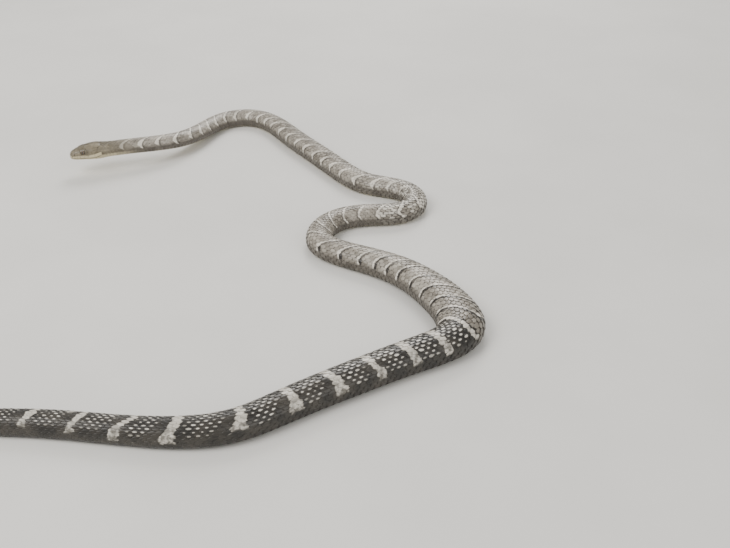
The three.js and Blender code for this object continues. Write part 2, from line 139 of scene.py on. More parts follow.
# How far in from a shield's edge, the share of its height there, and its rim share
SHIELD_PROFILE = [(1.6, 1, 0.5), (1.0, 0.98, 0.7), (0.6, 0.93, 0.85), (0.34, 0.83, 0.93),
                  (0.15, 0.66, 0.96), (0.05, 0.48, 0.985), (0, 0.3, 1)]
INNER_RINGS = (0.3, 0.6, 0.85)
# Place round the head against the distance behind the snout where shields end and scales begin
SHIELD_EDGE = [(0, 61.2), (0.34, 61.7), (0.38, 59.2), (0.44, 57.2), (0.56, 53.7), (0.77, 52.2), (0.8, 57.2),
               (1.34, 58.2), (1.36, 27.5), (1.46, 25), (1.66, 29), (1.92, 28), (2, 20.5)]

# Eyes and nostrils
SIDES = (("left", 1), ("right", -1))
EYE_RIM = 0.3               # half the thickness of the rim
EYE_RIM_LEVEL = 0.08        # of its middle over the skin
BROW_OVERHANG = 0.25        # how far the shield of the brow reaches over it
NOSTRIL_REACH = (1.15, 0.85)    # of the opening that the shields leave, along and round
# The rings of a nostril's hollow: their reach along and round, and their height
NOSTRIL_RINGS = [(0.05, 0.04, -0.31), (0.6, 0.4, -0.3), (1.2, 0.9, -0.27), (1.5, 1.2, -0.3),
                 (1.5, 1.2, -0.7)]

# The coat. Each table is share of the whole length against a size.
SCALE_PITCH = [(0, 3.2), (0.03, 4.4), (0.1, 6.6), (0.2, 9), (0.3, 10.8), (0.42, 11.4), (0.5, 10.6),
               (0.6, 9.4), (0.8, 8.8), (0.9, 8), (0.97, 6.6), (1, 5.6)]
SCALE_ROWS = [(0, 5), (0.035, 7), (0.07, 9), (0.11, 11), (0.16, 13), (0.2, 15), (0.93, 17)]
ROWS_REACH = 0.82           # the rows cover this share of the flank, and the belly scutes the rest
COAT_STOPS = 44.0           # behind the snout tip, the last ring of scales
TIP_HEIGHT = 0.095          # of the pitch: how far the free end of a scale stands off the skin
TIP_ROOM = 0.01             # of the pitch: what is left between that end and the surface of the solids
ROOT_SINK = 0.03            # of the pitch: how far its root is sunk in the skin
SCALE_BULGE = 0.034         # of the pitch
SCALE_THICK = 0.028         # of the pitch
SCALE_REACH = 0.78          # half length of a scale, of the pitch
SCALE_SPREAD = 0.68         # half width, of the space between rows
OUTLINE_POWER = 1.7         # 1 is a diamond, 2 an oval
SCALE_CORNERS = 16
SCALE_RINGS = (0.45, 0.8, 1.0)
COAT_LENGTHS = 9            # the coat is parted into this many lengths, each a piece of its own
SCUTE_REACH = 0.74          # half length of a belly scute, of the pitch
SCUTE_BOW = 0.12            # of the pitch: how far its middle lies behind its ends
SCUTE_CORNER_FROM = 0.8     # the outer part of a scute, whose corners are rounded
SCUTE_CORNER = 0.25
SCUTE_LAP = 0.03            # share of the flank by which it goes under the lowest row of scales
THROAT_PITCH = 4.3
THROAT_START = 50.0         # behind the snout tip, where the throat's small scales give way to scutes

# The skin under the coat
HEAD_COAT = 0.35            # depth of skin below the solids on the head
DEPTH_EASE = (66.0, 56.0)   # behind the snout tip: from here to there the depth goes over to it
PLACE_EASE = (84.0, 60.0)   # and places round the body go over to places round the head
FACET_SAG = 0.011           # of the half width: how far a flat of the solids lies inside its curve
FLOOR_ROOM = 0.05           # no corner lies lower than this
CREASE_DEPTH = 0.9          # of the line of the mouth
# Rings near its two ends: distances from the tail tip, and behind the snout tip
SKIN_TAIL_RINGS = [0.3, 0.6, 1.1, 1.8, 2.8, 4]
SKIN_SNOUT_RINGS = [2.5, 2, 1.5, 1.1, 0.8, 0.5, 0.3, 0.15, 0.05]

# The unwrap, in shares of its width or of one cell
UNWRAP_STRIPS = 5           # the body's skin is laid in this many strips, and the head in one more
HEAD_STRIP = 90.0           # length of the head's strip
CELL_FILL = 0.46            # half of a cell that a scale or shield fills
FLANK_CELLS = 0.86          # scales of the flanks take this share of the width
BELLY_CELL = 0.935          # the middle of the belly scutes, and half their width
BELLY_CELL_HALF = 0.06

# Steps of measuring: along for the tables, and along and round for the lie of the surface
TABLE_STEP = 2.0
PROBE_STEP = 0.8
PROBE_TURN = 0.02

# The markings. Each rear band: its place on the back, a quarter and half way down the right flank,
# its half widths at the three, and how far down the flank it ends.
REAR_BANDS = [
    (743.5, 736.5, 733, 6.5, 4.5, 5, 0.53), (812.5, 805, 801.5, 5.5, 4, 5.5, 0.63),
    (882, 870, 861, 5, 5, 6.2, 0.76), (945.5, 942.5, 935, 7.5, 6.5, 9, 0.74),
    (1031.5, 1028, 1021.5, 6.5, 6.5, 10.5, 0.55), (1105, 1106, 1104.5, 6.8, 6, 10.3, 0.63),
    (1173, 1177.5, 1180, 7, 6.5, 9.5, 0.67), (1238.5, 1242, 1247.5, 7, 5.3, 7.5, 0.67),
    (1301, 1303.5, 1309, 7, 6.5, 8, 0.63), (1357.5, 1359, 1362.5, 6.5, 6, 6.5, 0.66),
]
# Behind them, in shares of the body's width: lean a quarter and half way down, half width at the three
TAIL_LEAN = (0.14, 0.22)
TAIL_HALVES = (0.13, 0.1, 0.13)
TAIL_STEP = [(0, 26), (300, 46), (743, 69)]     # distance from the tail tip, and to the next band
HALF_BAND = (792, 0.12, 0.4, 4.5)     # a stray one on the left: place, from, to, half width
MEETING_BAND = 1411.5                 # the last broad one, edged with black, where rear meets front
MEETING_EDGES = (4.6, 2.6)            # the black behind and ahead of it
# The thin lines of the front half, by their places on the back, and the usual step after the last
FRONT_LINES = [1452.5, 1488, 1525.5, 1562, 1599, 1628, 1655, 1686, 1723, 1762, 1800, 1837, 1874, 1911,
               1948, 1985, 2022, 2060, 2098, 2135, 2166, 2201, 2238, 2273]
FRONT_STEP = 35.0
FRONT_HALF = 2.1
FRONT_EDGE = [(1600, 5.0), (1850, 3.0)]         # distance from the tail tip, and the dark behind a line
LEFT_LEAN = [(1450, 0.9), (1640, 1.0), (1760, 1.4)]
LOW_BARS = [(2090, 0), (2150, 1)]               # on the far bend a line widens low on the flank
LOW_BAR_HALF = 1.8
# Places round the body at which the rear bands are given, and at which all bands are worked out
REAR_NODES = (-1, -0.52, -0.25, 0, 0.25, 0.52, 1)
BAND_NODES = np.array([-1, -0.8, -0.62, -0.5, -0.375, -0.25, -0.125, 0,
                       0.125, 0.25, 0.375, 0.5, 0.62, 0.8, 1])
# How far ahead of its place on the back a front line lies, from the right flank to the left
LINE_CURVE = [(-1, 2), (-0.62, -9.5), (-0.5, -14), (-0.375, -13), (-0.25, -9), (-0.125, -4.5), (0, 0),
              (0.125, 5), (0.25, 9.5), (0.375, 12.5), (0.5, 14), (0.62, 12), (1, 4)]
# Clear black before and after a band, as shares of the way to the next, by distance from the tail
SPOT_MARGINS = [(0, 0.17, 0.22), (1000, 0.12, 0.2), (1250, 0.1, 0.15), (1330, 0.04, 0.09),
                (1402, 0.03, 0.04)]
SPOT_LIMIT = [(700, 0.5), (900, 0.62), (1100, 0.66), (1400, 0.68)]      # how far down the flank they go
SPOT_SIZE = [(700, 0.56), (1000, 0.62), (1250, 0.7), (1400, 0.72)]
# Ways from the tail tip, in metres, between which one look goes over to the next
REAR_TO_FRONT = (1.405, 1.416)
WIDE_TO_THIN = (1.4, 1.43)
FEET_DIM_UNTIL = (1.38, 1.4)
MEETING_EDGE_FROM = (1.385, 1.395)
DUSK_UNTIL = (1.43, 1.52)
STRONG_EDGES_UNTIL = (1.5, 1.8)
LOW_EDGES_UNTIL = (1.85, 1.95)
FAR_BEND_FROM = (1.96, 1.99)
FAR_BEND_UNTIL = (2.08, 2.2)
BELLY_PALES = (1.35, 2.2)
HEAD_COLOURS = (0.15, 0.06)     # behind the snout tip

# The studio. Each light: name, place, width and power.
LIGHTS = [("soft key", (-1.6, -1.2, 2.6), 2.0, 84), ("soft fill", (2.4, -1.8, 1.8), 2.2, 26),
          ("back light", (0.6, 2.8, 2.2), 1.6, 66)]
WARM_WHITE = (1.0, 0.975, 0.94)
FLOOR_REACH = 14.0
FLOOR_PLACE = (0, 0, -0.0002)
CAMERA_PLACE = (0.473, -1.654, 0.930)
LOOKING_DOWN = 31           # degrees
FOCAL_PIXELS = 1054
PHOTO_WIDTH = 730           # pixels
FILM_WIDTH = 36


def smooth_table(rows, column, x):
    """A smooth curve through a table's rows that never overshoots them."""
    places = np.array([row[0] for row in rows], dtype=float)
    values = np.array([row[column] for row in rows], dtype=float)
    slopes = np.diff(values) / np.diff(places)
    tangents = np.zeros(len(rows))
    tangents[0], tangents[-1] = slopes[0], slopes[-1]
    product = slopes[:-1] * slopes[1:]
    total = slopes[:-1] + slopes[1:]
    tangents[1:-1] = np.where(product > 0, 2 * product / np.where(total == 0, 1, total), 0)
    x = np.clip(x, places[0], places[-1])
    i = np.clip(np.searchsorted(places, x, side="right") - 1, 0, len(rows) - 2)
    run = places[i + 1] - places[i]
    u = (x - places[i]) / run
    return (values[i] * (1 + 2 * u) * (1 - u) ** 2 + tangents[i] * run * u * (1 - u) ** 2
            + values[i + 1] * u * u * (3 - 2 * u) - tangents[i + 1] * run * u * u * (1 - u))


def straight_table(rows, x):
    """Straight lines through a table's rows."""
    return np.interp(x, *zip(*rows))


def smooth_step(low, high, x):
    """0 at low and beyond, 1 at high and beyond, smooth between."""
    u = np.clip((x - low) / (high - low), 0, 1)
    return u * u * (3 - 2 * u)


def route_points(steps_per_span=24):
    """The route on the floor: a cubic B-spline that rounds off the corners."""
    corners = np.array(ROUTE, dtype=float)
    padded = np.vstack([2 * corners[0] - corners[1], corners, 2 * corners[-1] - corners[-2]])
    u = np.linspace(0, len(ROUTE) - 1, (len(ROUTE) - 1) * steps_per_span + 1)
    span = np.minimum(u.astype(int), len(ROUTE) - 2)
    f = (u - span)[:, None]
    weights = [(1 - f) ** 3, 3 * f ** 3 - 6 * f ** 2 + 4, -3 * f ** 3 + 3 * f ** 2 + 3 * f + 1, f ** 3]
    return sum(weight * padded[span + k] for k, weight in enumerate(weights)) / 6


route = route_points()
route_lengths = np.concatenate([[0], np.cumsum(np.hypot(*np.diff(route, axis=0).T))])
BODY_LENGTH = route_lengths[-1]
WHOLE_LENGTH = BODY_LENGTH + HEAD_LENGTH


def middle_line(s):
    """The point on the floor plan below the middle of the body, at the level of its underside."""
    before = np.minimum(s, 0)
    beyond = np.maximum(s - BODY_LENGTH, 0)
    start = (route[1] - route[0]) / np.linalg.norm(route[1] - route[0])
    end = (route[-1] - route[-2]) / np.linalg.norm(route[-1] - route[-2])
    x, y = [np.interp(s, route_lengths, route[:, k]) + before * start[k] + beyond * end[k] for k in (0, 1)]
    lift = NECK_LIFT * smooth_step(BODY_LENGTH - LIFT_RUN, BODY_LENGTH, s)
    return np.stack([x, y, lift], axis=-1)


def head_form(t):
    """The six measures of the head's section, t behind the snout tip."""
    return [smooth_table(HEAD_FORM, k, t) for k in range(1, 7)]


def section_measures():
    """Half width, top, underside, broadest level and the two powers, in steps that shrink on the snout."""
    snout = WHOLE_LENGTH - SNOUT_ROUNDING * np.linspace(1, 0, 40) ** 2
    s = np.concatenate([np.arange(0, snout[0] - 0.1, 0.5), snout])
    share = np.minimum(s / BODY_LENGTH, 1)
    width = smooth_table(GIRTH, 1, share)
    height = width * smooth_table(GIRTH, 2, share)
    body = [width / 2, height, -BELLY_SINK * np.minimum(1, width / 20), height * BODY_WIDEST,
            np.full_like(s, BACK_POWER), np.full_like(s, BELLY_POWER)]
    t = np.maximum(WHOLE_LENGTH - s, 0)
    dome = np.sqrt(np.clip(1 - (1 - np.minimum(t, SNOUT_ROUNDING) / SNOUT_ROUNDING) ** 2, 1e-4, 1))
    short = np.maximum(SNOUT_ROUNDING - t, 0)
    half, top, bottom, widest, upper, lower = head_form(t + short ** 2 / (2 * SNOUT_ROUNDING))
    head = [half * dome, widest + (top - widest) * dome, widest - (widest - bottom) * dome,
            widest, upper, lower]
    rows = np.array([np.where(s <= BODY_LENGTH, b, h) for b, h in zip(body, head)])
    # The joint of neck and head is eased over a few millimetres
    window = np.hanning(41) / np.hanning(41).sum()
    near_joint = np.exp(-((s - BODY_LENGTH) / 16) ** 2)
    for row in rows:
        eased_row = np.convolve(np.pad(row, 20, mode="edge"), window, mode="valid")
        row += (eased_row - row) * near_joint
    return s, rows


measured_s, measures = section_measures()


def solid_surface(s, angle):
    """A point on the surface of the solids, flat where it lies on the floor."""
    ahead = middle_line(s + 1) - middle_line(s - 1)
    ahead /= np.linalg.norm(ahead, axis=-1, keepdims=True)
    left = np.stack([-ahead[..., 1], ahead[..., 0], np.zeros_like(ahead[..., 0])], axis=-1)
    left /= np.linalg.norm(left, axis=-1, keepdims=True)
    up = np.cross(ahead, left)
    half, top, bottom, widest, upper, lower = [np.interp(s, measured_s, row) for row in measures]
    sine, cosine = np.sin(angle), np.cos(angle)
    power = np.where(cosine >= 0, upper, lower)
    side = half * np.sign(sine) * np.abs(sine) ** (2 / power)
    swell = np.abs(cosine) ** (2 / power)
    rise = np.where(cosine >= 0, widest + (top - widest) * swell, widest - (widest - bottom) * swell)
    return middle_line(s) + left * side[..., None] + up * np.maximum(rise, 0)[..., None]


def surface_and_normal(s, angle):
    """A point on the surface of the solids and the outward direction there."""
    s, angle = np.broadcast_arrays(np.asarray(s, dtype=float), np.asarray(angle, dtype=float))
    across = solid_surface(s, angle + PROBE_TURN) - solid_surface(s, angle - PROBE_TURN)
    reach = np.minimum(PROBE_STEP, np.maximum(WHOLE_LENGTH - s, 0.02))
    along = solid_surface(s + reach, angle) - solid_surface(s - PROBE_STEP, angle)
    normal = np.cross(along, across)
    normal /= np.maximum(np.linalg.norm(normal, axis=-1, keepdims=True), 1e-9)
    return solid_surface(s, angle), normal


# Girth is a place round the body: 0 on the back, 1 where the belly scutes start, 2 under the belly.
girth_steps = np.linspace(0, 2, 61)


def girth_tables():
    """The angle of each girth, and the ways over the flank and the belly, at each step along."""
    s = np.arange(0, WHOLE_LENGTH, TABLE_STEP)
    angles = np.linspace(0, math.pi, 241)
    points = solid_surface(*np.meshgrid(s, angles, indexing="ij"))
    way = np.cumsum(np.linalg.norm(np.diff(points, axis=1), axis=-1), axis=1)
    way = np.concatenate([np.zeros((len(s), 1)), way], axis=1)
    flank = np.array([np.interp(BELLY_ANGLE, angles, row) for row in way])
    table = np.empty((len(s), len(girth_steps)))
    for k, row in enumerate(way):
        on_belly = flank[k] + (girth_steps - 1) * (row[-1] - flank[k])
        table[k] = np.interp(np.where(girth_steps <= 1, girth_steps * flank[k], on_belly), row, angles)
    return s, table, flank, way[:, -1] - flank


girth_s, girth_angles, flank_ways, belly_ways = girth_tables()


def angle_of_girth(s, girth):
    """The angle of a girth, from between the rows and columns of its table."""
    row = np.clip(s / TABLE_STEP, 0, len(girth_angles) - 1.001)
    column = np.clip(np.abs(girth) * (len(girth_steps) - 1) / 2, 0, len(girth_steps) - 1.001)
    r, c = row.astype(int), column.astype(int)
    fr, fc = row - r, column - c
    near = girth_angles[r, c] * (1 - fc) + girth_angles[r, c + 1] * fc
    far = girth_angles[r + 1, c] * (1 - fc) + girth_angles[r + 1, c + 1] * fc
    return np.sign(girth) * (near * (1 - fr) + far * fr)


def ways_at(s):
    """The way over the flank from the back to the belly scutes, and on to the midline of the belly."""
    return np.interp(s, girth_s, flank_ways), np.interp(s, girth_s, belly_ways)


def angle_at(s, way):
    """The angle of a point that lies a way round from the back, past the midline of the belly too."""
    flank, belly = ways_at(s)
    size = np.abs(way)
    past = size > flank + belly
    folded = np.where(past, 2 * (flank + belly) - size, size)
    girth = np.where(folded <= flank, folded / flank, 1 + (folded - flank) / belly)
    angle = angle_of_girth(s, girth)
    return np.sign(way) * np.where(past, 2 * math.pi - angle, angle)


def mouth_angle(t):
    """The angle at which the line of the mouth runs, t behind the snout tip."""
    _, _, bottom, widest, _, lower = head_form(t)
    drop = (widest - smooth_table(MOUTH, 1, t)) / (widest - bottom)
    return np.where(drop <= 0, math.pi / 2, math.pi - np.arccos(np.clip(drop, 0, 1) ** (lower / 2)))


def head_angle(t, place):
    """The angle of a place round the head: 0 crown, 1 mouth, 2 throat, up to 4 back at the crown."""
    mouth = mouth_angle(t)
    folded = np.where(np.abs(place) > 2, 4 - np.abs(place), np.abs(place))
    angle = np.where(folded <= 1, folded * mouth, mouth + (folded - 1) * (math.pi - mouth))
    angle = np.where(np.abs(place) > 2, 2 * math.pi - angle, angle)
    return np.sign(place) * angle


def pitch_at(s):
    """The distance from one ring of scales to the next."""
    return smooth_table(SCALE_PITCH, 1, s / WHOLE_LENGTH)


def coat_depth(s):
    """How far the skin lies below the surface of the solids."""
    coat = pitch_at(s) * (TIP_HEIGHT + TIP_ROOM) + FACET_SAG * np.interp(s, measured_s, measures[0])
    rear, front = DEPTH_EASE
    return coat + (HEAD_COAT - coat) * smooth_step(WHOLE_LENGTH - rear, WHOLE_LENGTH - front, s)


def place_on_skin(s, angle, height):
    """Points at a height over the skin, kept just clear of the floor."""
    point, normal = surface_and_normal(s, angle)
    point = point + normal * (height - coat_depth(s))[..., None]
    point[..., 2] = np.maximum(point[..., 2], FLOOR_ROOM)
    return point


def band_rows():
    """Every band and line from tail to neck: centres and half widths at each node, and its edges."""
    curve = smooth_table(LINE_CURVE, 1, BAND_NODES)
    spread = np.abs(BAND_NODES)
    rows = []

    def add_rear(back, quarter, foot, half, half_quarter, half_foot, end):
        ahead = [foot - back, foot - back, quarter - back, 0]
        ahead += [0.4 * (back - place) for place in (quarter, foot, foot)]
        widths = [half_foot, half_foot, half_quarter, half, half_quarter, half_foot, half_foot]
        shift, width = [smooth_table(list(zip(REAR_NODES, row)), 1, BAND_NODES) for row in (ahead, widths)]
        rows.append((back + shift, width, end, 0, 0))

    place = REAR_BANDS[0][0]
    while place > 0:
        place -= float(straight_table(TAIL_STEP, place)) * (1 + 0.05 * chance.standard_normal())
        width = 2 * np.interp(place, measured_s, measures[0])
        down = [place - lean * width for lean in TAIL_LEAN]
        add_rear(place, *down, *[half * width for half in TAIL_HALVES], chance.uniform(0.55, 0.72))
    rows.reverse()
    for band in REAR_BANDS:
        add_rear(*band)
    meeting = np.where(BAND_NODES < 0, 0.45, 1) * curve
    rows.append((MEETING_BAND + meeting, np.full_like(curve, 4.7), 0.66, *MEETING_EDGES))
    places = list(FRONT_LINES)
    while places[-1] < WHOLE_LENGTH:
        places.append(places[-1] + FRONT_STEP * (1 + 0.06 * chance.standard_normal()))
    for place in places:
        lean = np.where(BAND_NODES > 0, straight_table(LEFT_LEAN, place), 1)
        half = FRONT_HALF * (1 - 0.35 * smooth_step(0.45, 0.7, spread))
        low_bar = smooth_step(0.1, 0.3, spread) * smooth_step(0.62, 0.5, spread)
        half += LOW_BAR_HALF * low_bar * straight_table(LOW_BARS, place)
        edge = straight_table(FRONT_EDGE, place)
        rows.append((place + lean * curve, half, chance.uniform(0.6, 0.7), edge, 0))
    return rows


bands = band_rows()
band_centres = np.array([row[0] for row in bands])
band_halves = np.array([row[1] for row in bands])
band_ends, edges_behind, edges_ahead = [np.array([row[k] for row in bands]) for k in (2, 3, 4)]


def band_facts(s, girth):
    """Where each point lies among the bands. The phase is whole in the middle of every band."""
    s, girth = np.ravel(s), np.clip(np.ravel(girth), -1, 1)
    numbers = np.arange(len(bands))
    phase, half = np.zeros(s.shape), np.zeros(s.shape)
    column = np.clip(np.searchsorted(BAND_NODES, girth, side="right") - 1, 0, len(BAND_NODES) - 2)
    gone = (girth - BAND_NODES[column]) / (BAND_NODES[column + 1] - BAND_NODES[column])
    share = 0.5 * smooth_step(0, 1, gone) + 0.5 * gone
    for k in range(len(BAND_NODES)):
        weight = np.where(column == k, 1 - share, np.where(column == k - 1, share, 0))
        used = weight > 0
        here = np.interp(s[used], band_centres[:, k], numbers)
        phase[used] += weight[used] * here
        half[used] += weight[used] * np.interp(here, numbers, band_halves[:, k])
    rear = np.clip(phase.astype(int), 0, len(bands) - 2)
    on_back = len(BAND_NODES) // 2
    step = band_centres[rear + 1, on_back] - band_centres[rear, on_back]
    nearest = np.clip(np.round(phase).astype(int), 0, len(bands) - 1)
    return {"band_phase": phase, "band_step": step, "band_half": half, "band_end": band_ends[nearest],
            "edge_behind": edges_behind[nearest], "edge_ahead": edges_ahead[nearest]}


def spot_sizes(s, girth):
    """The size of the pale grain on each scale of the rear half, 0 for none, and its lightness."""
    facts = band_facts(s, girth)
    fraction = facts["band_phase"] % 1
    places, befores, afters = zip(*SPOT_MARGINS)
    edge = facts["band_half"] / facts["band_step"]
    down = 0.14 * np.maximum(np.abs(girth) - 0.2, 0)
    zone = smooth_step(-0.05, 0.08, fraction - edge - np.interp(s, places, befores) - down)
    zone *= smooth_step(-0.05, 0.08, 1 - fraction - edge - np.interp(s, places, afters) - down)
    limit = straight_table(SPOT_LIMIT, s)
    low = smooth_step(limit, limit - 0.3, np.abs(girth))
    usual = straight_table(SPOT_SIZE, s)
    size = usual * (0.8 + 0.2 * zone) * (1 + 0.17 * chance.standard_normal(len(s))).clip(0.6, 1.5)
    light = zone * low ** 0.8 * chance.uniform(0.4, 1.15, len(s)).clip(0, 1)
    size = np.where((zone * low > 0.12) & (s < MEETING_BAND - 4), size, 0)
    return size, light


def mesh_piece(name, vertices, faces, attributes, uvs=None):
    """A mesh from arrays. Each face row may end in -1 for a triangle among quads."""
    used = faces >= 0
    loops = faces[used]
    starts = np.concatenate([[0], np.cumsum(used.sum(axis=1))[:-1]])
    mesh = bpy.data.meshes.new(name)
    mesh.vertices.add(len(vertices))
    mesh.vertices.foreach_set("co", (vertices * MM).astype(np.float32).ravel())
    mesh.loops.add(len(loops))
    mesh.loops.foreach_set("vertex_index", loops.astype(np.int32))
    mesh.polygons.add(len(faces))
    mesh.polygons.foreach_set("loop_start", starts.astype(np.int32))
    mesh.polygons.foreach_set("use_smooth", np.ones(len(faces), dtype=bool))
    mesh.update(calc_edges=True)
    for key, values in attributes.items():
        layer = mesh.attributes.new(key, "FLOAT", "POINT")
        layer.data.foreach_set("value", np.asarray(values, dtype=np.float32).ravel())
    if uvs is not None:
        layer = mesh.uv_layers.new(name="OFBake")
        loop_uvs = uvs[loops] if len(uvs) == len(vertices) else uvs
        layer.data.foreach_set("uv", loop_uvs.astype(np.float32).ravel())
    mesh.validate()
    piece = bpy.data.objects.new(name, mesh)
    bpy.context.scene.collection.objects.link(piece)
    return piece


def paint_facts(s, girth, along, across, rim, luck, bare=0.0):
    """The values that the markings are painted by, for points that carry no pale grain."""
    facts = {key: np.reshape(values, s.shape) for key, values in band_facts(s, girth).items()}
    place, low, high, half_width = HALF_BAND
    left_side = smooth_step(0, 1, (girth - low) / 0.05) * smooth_step(0, 1, (high - girth) / 0.05)
    inside = half_width - np.abs(s - place - 20 * (girth - 0.1))
    given = {"root_phase": facts["band_phase"], "half_band": left_side * np.clip(1 + inside, 0, 2),
             "from_back": np.abs(girth), "way_along": s / 1000, "spot_size": 0.0, "spot_light": 0.0,
             "scale_along": along, "scale_across": across, "scale_rim": rim, "scale_chance": luck,
             "bare_skin": bare}
    for key, values in given.items():
        facts[key] = np.broadcast_to(values, s.shape)
    return facts


def full_turn(count):
    """Evenly spaced angles once round."""
    return np.arange(count) / count * 2 * math.pi


def tube_faces(rings, columns, looped=False):
    """Faces between rings of corners. The ends close in a fan each, or meet where it is looped."""
    grid = np.arange(rings * columns).reshape(rings, columns)
    if looped:
        grid = np.vstack([grid, grid[:1]])
    beside = np.roll(grid, -1, axis=1)
    faces = np.stack([grid[:-1], grid[1:], beside[1:], beside[:-1]], axis=-1).reshape(-1, 4)
    if looped:
        return faces
    first_end = rings * columns
    caps = [(first_end, grid[0, c], beside[0, c], -1) for c in range(columns)]
    caps += [(first_end + 1, beside[-1, c], grid[-1, c], -1) for c in range(columns)]
    return np.vstack([faces, caps])


def scale_template():
    """One scale: its way along and across, its rim share, and whether a corner is underneath."""
    turn = full_turn(SCALE_CORNERS)
    along, across = [np.sign(way) * np.abs(way) ** (2 / OUTLINE_POWER)
                     for way in (np.cos(turn), np.sin(turn))]
    corners = [(0.0, 0.0, 0.0, 0.0)]
    for ring, under in [(ring, 0.0) for ring in SCALE_RINGS] + [(1.0, 1.0)]:
        corners += [(ring * a, ring * c, ring, under) for a, c in zip(along, across)]
    corners.append((0.0, 0.0, 0.0, 1.0))
    return np.array(corners), ring_faces(len(SCALE_RINGS) + 1, SCALE_CORNERS)


def ring_faces(rings, corners):
    """Faces of a closed plate: a fan, bands between rings, and a fan underneath, which comes first."""
    def corner(ring, k):
        return 1 + ring * corners + k % corners
    last = 1 + rings * corners
    faces = [(last, corner(rings - 1, k + 1), corner(rings - 1, k), -1) for k in range(corners)]
    for ring in reversed(range(rings - 1)):
        faces += [(corner(ring, k), corner(ring + 1, k), corner(ring + 1, k + 1), corner(ring, k + 1))
                  for k in range(corners)]
    faces += [(0, corner(0, k), corner(0, k + 1), -1) for k in range(corners)]
    return np.array(faces)


def repeat_faces(faces, count, corners):
    """The same faces for many copies of one template."""
    shifted = faces[None] + (np.arange(count) * corners)[:, None, None]
    return np.where(faces[None] < 0, -1, shifted).reshape(-1, faces.shape[1])


def scale_rings():
    """Where each ring of scales stands, from the tail tip to the back of the head."""
    places = [TAIL_ROUNDING + 2]
    while places[-1] < WHOLE_LENGTH - COAT_STOPS:
        places.append(places[-1] + float(pitch_at(places[-1])))
    return np.array(places)


def place_round_head(t, angle):
    """0 on the crown, 1 at the mouth, 2 under the throat."""
    mouth = mouth_angle(t)
    size = np.abs(angle)
    size = np.where(size > math.pi, 2 * math.pi - size, size)
    return np.where(size <= mouth, size / mouth, 1 + (size - mouth) / (math.pi - mouth))


def uncovered(roots):
    """The scales that no head shield covers."""
    roots = np.array(roots)
    t = WHOLE_LENGTH - roots[:, 0]
    place = place_round_head(np.minimum(t, HEAD_LENGTH), angle_at(roots[:, 0], roots[:, 1]))
    return roots[t > straight_table(SHIELD_EDGE, place)]


def body_roots(rings):
    """Every scale of the body: place, way round, pitch, half width, ring, and its cell in the unwrap."""
    shares = [row[0] for row in SCALE_ROWS]
    roots = []
    for ring, s in enumerate(rings):
        rows = SCALE_ROWS[np.searchsorted(shares, s / WHOLE_LENGTH, side="right") - 1][1]
        pitch = float(pitch_at(s))
        gap = 2 * ROWS_REACH * float(ways_at(s)[0]) / rows
        half_width = SCALE_SPREAD * min(gap, 0.85 * pitch)
        for row in range(rows):
            place = row - (rows - 1) / 2
            half_step = 0.5 * (place % 2)
            roots.append((s + half_step * pitch, place * gap, pitch, half_width, ring,
                          (row + 0.5) / rows * FLANK_CELLS, 0.4 / rows, ring + half_step))
    return uncovered(roots)


def throat_roots(first_scute):
    """The small scales between the shields of the chin and the first belly scute."""
    roots = []
    start = first_scute + THROAT_PITCH
    for row in range(int((WHOLE_LENGTH - 20 - start) / THROAT_PITCH)):
        s = start + row * THROAT_PITCH
        flank, belly = ways_at(s)
        count = int((belly + (1 - ROWS_REACH) * flank) / THROAT_PITCH) + 2
        for place in np.arange(-count, count + 1) + 0.5 * (row % 2):
            way = flank + belly + place * THROAT_PITCH * 0.92
            roots.append((s, way, THROAT_PITCH, 0.66 * THROAT_PITCH, row, 0.5 + 0.03 * place, 0.013, row))
    return uncovered(roots)


def coat_unwrap(u, ring, along, ring_count):
    """Places in the unwrap of one length of coat, where each ring of scales has a row of cells."""
    v = (ring + 0.5 + CELL_FILL * along) / (ring_count + 1)
    return np.stack(np.broadcast_arrays(u, v), axis=-1).reshape(-1, 2)


def lay_scales(roots, first_ring, ring_count):
    """Corner places, faces, facts and unwrap of scales laid like tiles from head to tail."""
    template, faces = scale_template()
    count = len(roots)
    s0, way0, pitch, half_width, _, cell, cell_half, cell_ring = roots.T[:, :, None]
    size = 1 + 0.05 * chance.standard_normal((count, 1)).clip(-1.6, 1.6)
    turn = np.radians(2.5) * chance.standard_normal((count, 1))
    lift = 1 + 0.12 * chance.standard_normal((count, 1)).clip(-1.5, 1.5)
    half_length = SCALE_REACH * pitch * size
    half_width = half_width * size
    angle0 = angle_at(s0, way0)
    ahead = solid_surface(s0 + 1, angle0) - solid_surface(s0 - 1, angle0)
    stretch = (np.linalg.norm(ahead, axis=-1) / 2) ** 0.7
    along, across, rim, under = template.T[:, None]
    forward = along * half_length - across * (half_width * np.sin(turn))
    aside = across * half_width + along * (half_length * np.sin(turn))
    s = s0 + forward / stretch
    way = way0 + aside
    tilt = (TIP_HEIGHT + ROOT_SINK) * lift.clip(0, 1.08)
    height = -ROOT_SINK + (1 - along) / 2 * tilt + SCALE_BULGE * (1 - rim ** 2) - under * SCALE_THICK
    points = place_on_skin(s, angle_at(s, way), height * pitch)
    flank = ways_at(s0)[0]
    root = (s0.ravel(), (way0 / flank).ravel())
    at_root = (band_facts(*root)["band_phase"], *spot_sizes(*root))
    facts = paint_facts(s, way / flank, along, across, rim, chance.random((count, 1)))
    for key, values in zip(("root_phase", "spot_size", "spot_light"), at_root):
        facts[key] = np.broadcast_to(values[:, None], s.shape)
    uvs = coat_unwrap(cell + cell_half * across, cell_ring - first_ring, along, ring_count)
    return points.reshape(-1, 3), repeat_faces(faces, count, len(template)), facts, uvs


